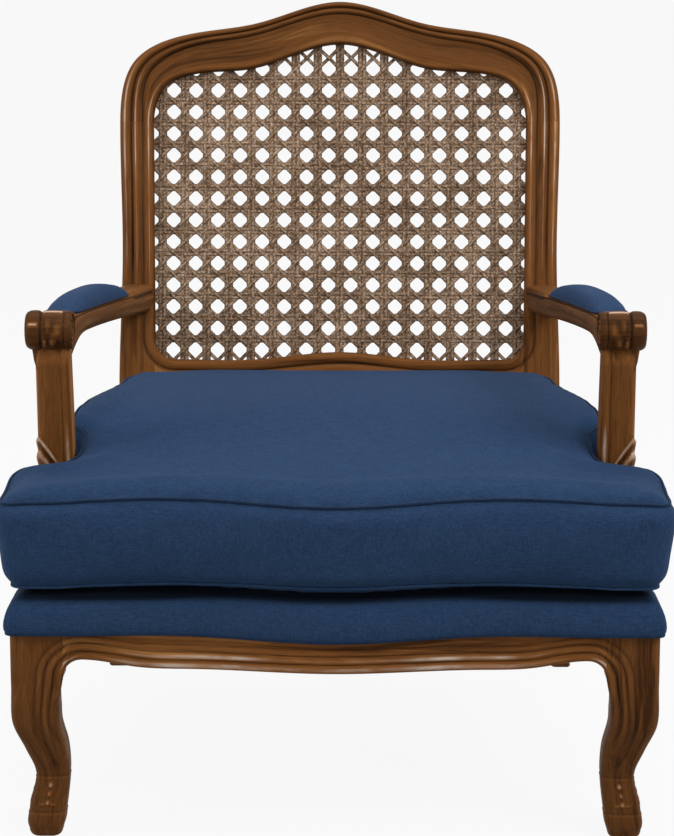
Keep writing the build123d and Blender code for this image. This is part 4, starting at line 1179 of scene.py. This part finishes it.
def cushion_plan(inset):
    """Outline of the cushion in plan, drawn in evenly, starting at the front right corner."""
    ear = cushion_half - inset
    turn = cushion_corner - inset
    rear = cushion_rear_half - inset
    rear_turn = cushion_rear_corner - inset
    rear_y = cushion_back_y - inset
    ear_rear = cushion_ear_y - inset
    fold = 10.0 + inset
    body = post_inner - 2.2 - 0.15 * inset
    corner = arc(ear - turn, front_y - cushion_overhang + inset + turn, turn, 270, 360, 10)
    ear_end = arc(ear - turn, ear_rear - turn, turn, 0, 90, 10)
    crook = arc(body + fold, ear_rear + fold, fold, 270, 180, 8)
    rear_end = arc(rear - rear_turn, rear_y - rear_turn, rear_turn, 0, 90, 16)
    flank = stretch(crook[-1], rear_end[0], 56)
    flank[:, 0] += side_swell * ease(flank[:, 1], -152, -134) * (1 - ease(flank[:, 1], -90, 110))
    right = np.vstack([corner, stretch(corner[-1], ear_end[0], 12), ear_end,
                       stretch(ear_end[-1], crook[0], 8), crook, flank, rear_end,
                       stretch(rear_end[-1], (0, rear_y), 34)])
    front = plan_front(ear - turn, cushion_overhang - inset, 120)
    return np.vstack([right, [(0, rear_y)], right[::-1] * (-1, 1), front[::-1][1:-1]])


side_rise = table((-377, -204, -165, -130, -64, 80, 222), (0, 10, 31, 47, 53, 51, 43))
crown_rise = table((-377, -204, -64, 80, 222), (1, 27, 44, 46, 42))


def seam_drop(y):
    """How far the front seam lies below the top."""
    return 6.0 * (1 - ease(y, cushion_ear_y - 90, cushion_ear_y))


def seam_top(x, y):
    """Height of the top seam, a little under the crowned top."""
    crown = cushion_high + side_rise(y) + (crown_rise(y) - side_rise(y)) * (1 - (x / 386) ** 2)
    return crown - 4.0 - seam_drop(y)


def low_seam_lift(x):
    """How much higher the low seam lies in the middle of the cushion than at its sides."""
    return 5.0 - 3.0 * ease(np.abs(x), 60, 200) - 4.5 * ease(np.abs(x), 150, 330)


def ear_flare(x, share):
    """How far the top of the ears stands out at a share of the cushion's height."""
    return np.sign(x) * 6.5 * ease(np.abs(x), 325, 372) * ease(share, 0.45, 1.0)


def shown_mesh(obj):
    """A new mesh of an object as its modifiers show it."""
    return bpy.data.meshes.new_from_object(obj.evaluated_get(bpy.context.evaluated_depsgraph_get()))


def remeshed(obj, voxel):
    """Even quads over a closed mesh."""
    change = obj.modifiers.new("even", "REMESH")
    change.mode = "VOXEL"
    change.voxel_size = voxel * MM
    bpy.context.view_layer.update()
    old = obj.data
    made = shown_mesh(obj)
    obj.modifiers.remove(change)
    obj.data = made
    bpy.data.meshes.remove(old)
    return obj


def get_points(mesh, what="co"):
    flat = np.empty(len(mesh.vertices) * 3, np.float32)
    mesh.vertices.foreach_get(what, flat)
    return flat.reshape(-1, 3).astype(float)


def set_points(mesh, points):
    mesh.vertices.foreach_set("co", (points * MM).astype(np.float32).ravel())
    mesh.update()


def smoothed(mesh, points, rounds, held):
    """Points evened out towards their neighbours, apart from those held."""
    edges = np.empty(len(mesh.edges) * 2, np.int32)
    mesh.edges.foreach_get("vertices", edges)
    edges = edges.reshape(-1, 2)
    count = np.zeros(len(points))
    np.add.at(count, edges.ravel(), 1)
    for _ in range(rounds):
        total = np.zeros_like(points)
        np.add.at(total, edges[:, 0], points[edges[:, 1]])
        np.add.at(total, edges[:, 1], points[edges[:, 0]])
        points = np.where(held[:, None], points, 0.5 * points + 0.5 * total / count[:, None])
    return points


def inflated(obj, pinned, pressure, cap, frames=20):
    """Cloth blown out between its pinned seams, no point moving further than the cap."""
    base = get_points(obj.data) / MM
    group = obj.vertex_groups.new(name="seams")
    group.add(np.flatnonzero(pinned).tolist(), 1.0, "REPLACE")
    cloth = obj.modifiers.new("cloth", "CLOTH")
    settings = cloth.settings
    settings.vertex_group_mass = "seams"
    settings.quality = 4
    settings.mass = 0.3
    settings.tension_stiffness = settings.compression_stiffness = 18
    settings.shear_stiffness = 8
    settings.bending_stiffness = 0.6
    settings.use_pressure = True
    settings.uniform_pressure_force = pressure
    settings.effector_weights.gravity = 0
    cloth.collision_settings.use_collision = False
    cloth.collision_settings.use_self_collision = False
    cloth.point_cache.frame_start = 1
    cloth.point_cache.frame_end = frames
    for step in range(1, frames + 1):
        bpy.context.scene.frame_set(step)
    made = shown_mesh(obj)
    moved = get_points(made) / MM - base
    bpy.data.meshes.remove(made)
    obj.modifiers.remove(cloth)
    obj.vertex_groups.remove(group)
    bpy.context.scene.frame_set(1)
    far = np.linalg.norm(moved, axis=1)
    return base + moved * np.minimum(1, cap / np.maximum(far, 1e-6))[:, None]


def settled(path, obj, lift):
    """A closed path moved onto a piece's surface, lifted a little off it and evened out."""
    tree = BVHTree.FromObject(obj, bpy.context.evaluated_depsgraph_get())
    out = []
    for p in path:
        place, way, _, _ = tree.find_nearest(Vector(p * MM))
        out.append(np.array(place) / MM + np.array(way) * lift)
    out = np.array(out)
    for _ in range(3):
        out = 0.5 * out + 0.25 * (np.roll(out, 1, axis=0) + np.roll(out, -1, axis=0))
    return out


# Loose cushion: a prism bent to its crown, then blown out between its two seams
seam_inset = 8.0
low_seam_inset = 12.0
low_seam_z = cushion_low + 5.0
prism_top = 420.0
prism = ((cushion_low, 26), (low_seam_z, low_seam_inset), (318, 11.5), (336, 9.5), (360, 7.5), (390, 7.5),
         (prism_top, seam_inset))
voxel = 6.0
seam_reach = 5.0
push_out = 9.0
post_rear_y = -147.0
ear_back_y = -185.0
rings = [places(*cushion_plan(inset).T, z) for z, inset in prism]
cushion = remeshed(mesh_object("cushion_sewn", *loft(rings)), voxel)
points = get_points(cushion.data) / MM
loop = cushion_plan(seam_inset)
low_loop = cushion_plan(low_seam_inset)
edge_gap = distance(points[:, :2], closed(loop))
height = (points[:, 2] - cushion_low) / (prism_top - cushion_low)
points[:, 2] = cushion_low + height * (seam_top(points[:, 0], points[:, 1]) - cushion_low)
points[:, 2] += low_seam_lift(points[:, 0]) * bell(points[:, 2], low_seam_z, 6) * (edge_gap < 20)
points[:, 0] += ear_flare(points[:, 0], height)
loop[:, 0] += ear_flare(loop[:, 0], 1.0)
puffed = seam_drop(points[:, 1]) * ease(edge_gap, 2, 26) - 8 * ease(edge_gap, 4, 50)
points[:, 2] += np.where(height > 0.9, puffed, 0)
seam_path = places(*loop.T, seam_top(*loop.T))
low_path = places(*low_loop.T, low_seam_z + low_seam_lift(low_loop[:, 0]))
near_seam = np.minimum(distance(points, closed(seam_path)), distance(points, closed(low_path))) < seam_reach
flat_below = (height < 0.02) & (edge_gap > 14)
pinned = near_seam | flat_below
points = smoothed(cushion.data, points, 3, flat_below)
set_points(cushion.data, points)
points = points + get_points(cushion.data, "normal") * np.where(pinned, 0, push_out)[:, None]
points = smoothed(cushion.data, points, 4, pinned)
set_points(cushion.data, points)
points = inflated(cushion, pinned, pressure=4.0, cap=5.0)
points = smoothed(cushion.data, points, 2, pinned)
points[:, 2] = np.maximum(points[:, 2], cushion_low)
points[:, 1] = np.minimum(points[:, 1], cushion_back_y - 0.1)

# Cushion kept clear of the posts
clear_x = post_inner - 1.0
off = np.abs(points[:, 0])
by_post = (points[:, 1] > cushion_ear_y + 1) & (points[:, 1] < post_rear_y) & (off > clear_x)
ear_back = by_post & (off > clear_x + 4) & (points[:, 1] < ear_back_y)
points[ear_back, 1] = cushion_ear_y + 1
by_post &= ~ear_back
points[by_post, 0] = np.sign(points[by_post, 0]) * clear_x
set_points(cushion.data, points)
cushion.data.shade_smooth()
cushion.data.materials.clear()
cushion.data.materials.append(blue)
finer = cushion.modifiers.new("finer", "SUBSURF")
finer.levels = finer.render_levels = 1
bpy.context.view_layer.update()
welts = (("cushion_welt_top", blue_dark, settled(seam_path, cushion, 0.9)),
         ("cushion_welt_low", blue, settled(low_path, cushion, 0.9)))
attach(cushion, "cushion")
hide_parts("cushion_core", "cushion_cover")
for name, mat, path in welts:
    piece(name, tube(path, 1.9, 10, endless=True), mat, body="cushion", sharp=80)

# Deck: padded border over the rails, notched round the posts and stiles
notch_gap = 1.5
notch_x = post_inner - notch_gap
notch_low = post_middle_y - post_base / 2 - notch_gap
notch_high = post_middle_y + post_base / 2 + notch_gap
stile_notch_x = stile_inner - notch_gap
stile_notch_y = back_y - notch_gap
deck_turn = 9.0


def deck_plan(grow):
    """Outline of the deck in plan from its front right corner round to the front line, the notches fixed."""
    def edge(y):
        inward = (half_seat - half_back) * max(0, y - block_back_y) / (back_y - block_back_y)
        return half_seat + grow - inward, y
    rear_y = back_y + 34 + grow
    right = np.vstack([arc(half_seat + grow - deck_turn, front_y - grow + deck_turn, deck_turn, 270, 360, 10),
                       dense([edge(block_back_y), edge(notch_low)], 8),
                       dense([(notch_x, notch_low), (notch_x, notch_high)], 8),
                       dense([edge(notch_high), edge(stile_notch_y)], 8),
                       [(stile_notch_x, stile_notch_y), (stile_notch_x, rear_y)],
                       dense([(stile_notch_x - 20, rear_y), (20, rear_y)], 20)])
    return np.vstack([right, right[::-1] * (-1, 1), plan_front(rail_end, grow, 121)[::-1]])


deck_profile = ((262.4, 0.4), (250.6, 0.4), (deck_low, 3.2), (250.4, 4.6), (252.5, 6.4), (256, 7.6),
                (261, 8.0), (267, 7.4), (273, 6.0), (279, 3.8), (284, 1.2), (287.6, -1.8), (290, -5),
                (291.6, -7.2), (294, -12), (296.4, -19), (298.4, -28), (299.6, -38), (deck_high, -48))
rings, shades = [], []
for z, grow in deck_profile:
    x, y = deck_plan(grow).T
    off = np.abs(x)
    bulge = np.clip((z - 253) / 20, 0, 1) * np.clip((296 - z) / 20, 0, 1)
    ripple = np.sin(x / 37) * np.sin(x / 91 + 1) + np.sin(y / 43)
    rings.append(places(x, y, z + 0.8 * ripple * bulge))
    # Painted shadow: the deck's upper front shoulder darkened in the crease under the cushion, fading across
    # the top, at the corners and towards the back.
    painted_crease_shadow = ease(z - 4.5 * (1 - ease(off, 70, 240)), 285.5, 291) * (1 - ease(-grow, 22, 38))
    shades.append(painted_crease_shadow * (1 - 0.8 * ease(off, 345, 372)) * (1 - ease(y, -300, -240)))
deck = piece("deck_upholstered", loft(rings), blue, sharp=60, tone_and_painted_shade=np.concatenate(shades),
             replaces=["deck_cover", "deck_pad", "deck_burlap"])
welt_grow = 5.4
welt_half = half_seat + welt_grow
corner = arc(welt_half - deck_turn, front_y - welt_grow + deck_turn, deck_turn, 360, 270, 10)
welt_line = dense(np.vstack([[(welt_half, block_back_y)], corner, plan_front(rail_end, welt_grow, 121),
                             corner[::-1] * (-1, 1), [(-welt_half, block_back_y)]]), 6)
piece("deck_welt", tube(places(*welt_line.T, deck_low + 1.2), 1.6), blue_dark, sharp=80)

# Arm pads with a fine welt where they meet the wood
pad_shares = (0, .03, .1, .22, .5, .78, .9, .97, 1)
pad_height = table(pad_shares, (1.5, 5, 10.5, 17, 21.6, 19.4, 14.5, 7.5, 2))
pad_width = table(pad_shares, (11, 16.5, 20, 21.4, 21.6, 21.4, 20, 16.5, 11))
pad_lift = 12.8
pad_turn = np.linspace(0, pi, 30)
pad_u = np.sign(np.cos(pad_turn)) * np.abs(np.cos(pad_turn)) ** 0.72
pad_v = np.abs(np.sin(pad_turn)) ** 0.86
for side, hand in sides:
    rings, inner_edge, outer_edge = [], [], []
    for share in spread([0, .006, .015, .03], (.05, .95, 50), [.97, .985, .994, 1]):
        y = pad_front_y + 0.5 + (pad_rear_y - pad_front_y - 1) * share
        half = pad_width(share)
        base = arm_middle(y) + pad_lift
        dimple = 0.35 * np.sin(pad_turn) * np.sin(y / 21 + 2.1 * np.cos(pad_turn))
        v = pad_height(share) * pad_v + dimple
        rings.append(places(side * (arm_across(y) + half * pad_u), y, base + v))
        outer_edge.append((side * (arm_across(y) + half + 0.1), y, base + 1.2))
        inner_edge.append((side * (arm_across(y) - half - 0.1), y, base + 1.2))
    pad = piece(f"arm_pad_upholstered_{hand}", loft(rings), blue, sharp=60,
                replaces=[f"arm_pad_cover_{hand}", f"arm_pad_foam_{hand}"])
    welt = tube(outer_edge + inner_edge[::-1], 1.5, endless=True)
    piece(f"arm_pad_welt_{hand}", welt, blue_dark, sharp=80)

# Dust cover, tacked under the rails and sagging a little
cover_z = rail_low - 0.1
cover_lap = 14.0
cover_gap = 0.3
lap_front = front_turn + 6
lap_rear = rear_turn - 6
half_cover = np.array([(rail_end - cover_gap, front_y + front_rail_thick + cover_gap),
                       (side_rail_inner(lap_front) + cover_lap, lap_front),
                       (side_rail_inner(lap_rear) + cover_lap, lap_rear),
                       (stile_inner - cover_gap, lap_rear + 2), (stile_inner - cover_gap, back_y + 18)])
outline = dense(closed(np.vstack([half_cover, half_cover[::-1] * (-1, 1)])), 12)[:-1]
middle = np.array([0, (front_y + back_y) / 2])
rings = []
for share in np.linspace(1, 0.04, 16):
    x, y = (middle + (outline - middle) * share).T
    sag = 5.5 * (1 - share ** 4) + 0.5 * np.sin(x / 26) * np.sin(y / 31) * (1 - share)
    rings.append(places(x, y, cover_z - sag))
cover = piece("dust_cover_cloth", loft(rings, first=False), dark_cloth, replaces=["dust_cover"],
              sharp=80)
thick = cover.modifiers.new("thick", "SOLIDIFY")
thick.thickness = 0.0008
thick.offset = 0

# Zip on the cushion's rear: tape with two rows of teeth
zip_z = cushion_low + 56
zip_y = cushion_back_y + 0.3
tape_thick = 1.0
tooth_count = 196
tooth_pitch = 2.0
tape_up = zip_z + np.linspace(-13, 13, 9)
rings = []
for x in np.linspace(-210, 210, 120):
    y = zip_y + 0.1 * sin(x / 17)
    rings.append(np.vstack([places(x, y, tape_up), places(x, y + tape_thick, tape_up[::-1])]))
piece("zip_tape_cloth", loft(rings), blue_dark, body="cushion", sharp=30,
      replaces=["cushion_zip_tape"])
tooth = loft([[(-.8, 0, -1.6), (.8, 0, -1.6), (.8, 0, 1.6), (-.8, 0, 1.6)],
              [(-.5, 1.9, -1.3), (.5, 1.9, -1.3), (.5, 1.9, 1.3), (-.5, 1.9, 1.3)]])
teeth = []
for i in range(tooth_count):
    place = (tooth_pitch * (i - tooth_count / 2), zip_y + 1.02, zip_z + (1.1 if i % 2 else -1.1))
    teeth.append((tooth[0] + place, tooth[1]))
piece("zip_teeth", joined(teeth), brass, body="cushion", sharp=30, clean=False)


# Floor, light and camera

def seen_by_eye(net):
    """One for rays from the camera and for those mirrored or let through, else zero."""
    path = net.node("ShaderNodeLightPath")
    mirrored_ray = net.math("MAXIMUM", path.outputs["Is Glossy Ray"], path.outputs["Is Transmission Ray"])
    return net.math("MAXIMUM", path.outputs["Is Camera Ray"], mirrored_ray)


def floor_material():
    """Pale floor: white to the camera, with the object's shadow kept on it."""
    net = Net(bpy.data.materials.new("pale_floor"))
    pale = net.node("ShaderNodeBsdfDiffuse", {"Color": (0.5, 0.5, 0.5, 1)})
    glow = net.node("ShaderNodeEmission", {"Color": (1, 1, 1, 1), "Strength": 1.0})
    share = net.math("MULTIPLY", seen_by_eye(net), 0.92)
    mix = net.node("ShaderNodeMixShader", {"Fac": share, 1: pale.outputs[0], 2: glow.outputs[0]})
    net.node("ShaderNodeOutputMaterial", {"Surface": mix.outputs[0]})
    return net.owner


def studio_world():
    """Near white to the camera, and a softer light on the object."""
    net = Net(bpy.data.worlds.new("studio"))
    shown = net.node("ShaderNodeBackground", {"Strength": 1.0, "Color": (0.965, 0.965, 0.965, 1)})
    ambient = net.node("ShaderNodeBackground", {"Strength": 0.5, "Color": (1, 0.99, 0.97, 1)})
    mix = net.node("ShaderNodeMixShader",
                   {"Fac": seen_by_eye(net), 1: ambient.outputs[0], 2: shown.outputs[0]})
    net.node("ShaderNodeOutputWorld", {"Surface": mix.outputs[0]})
    return net.owner


def lamp(name, place, target, size, power):
    data = bpy.data.lights.new(name, "AREA")
    data.shape = "RECTANGLE"
    data.size, data.size_y = size
    data.energy = power
    obj = linked(name, data)
    obj.location = place
    obj.rotation_euler = (Vector(target) - Vector(place)).to_track_quat("-Z", "Y").to_euler()


reach = 150.0
floor_mesh = bpy.data.meshes.new("floor")
corners = [(-reach, -reach, 0), (reach, -reach, 0), (reach, reach, 0), (-reach, reach, 0)]
floor_mesh.from_pydata(corners, [], [(0, 1, 2, 3)])
floor_mesh.materials.append(floor_material())
linked("floor", floor_mesh)
bpy.context.scene.world = studio_world()
lamp("key", (2.3, -1.7, 2.7), (0, 0, 0.5), (1.8, 1.4), 70)
lamp("fill", (-2.6, -0.9, 1.4), (0, 0, 0.45), (1.4, 1.6), 31)
lamp("top", (0.1, 0.3, 3.0), (0, 0, 0.4), (2.0, 1.6), 34)

camera_data = bpy.data.cameras.new("camera")
camera_data.lens = 91.6
camera_data.sensor_width = 36.0
camera_data.clip_end = 1000
camera = linked("camera", camera_data)
camera_turn = radians(0.6)
camera_y = front_y - 2300
camera.location = (tan(camera_turn) * (-60 - camera_y) * MM, camera_y * MM, 0.9903)
camera.rotation_euler = (radians(78), 0, camera_turn)
bpy.context.scene.camera = camera
bpy.context.scene.view_settings.view_transform = "Standard"
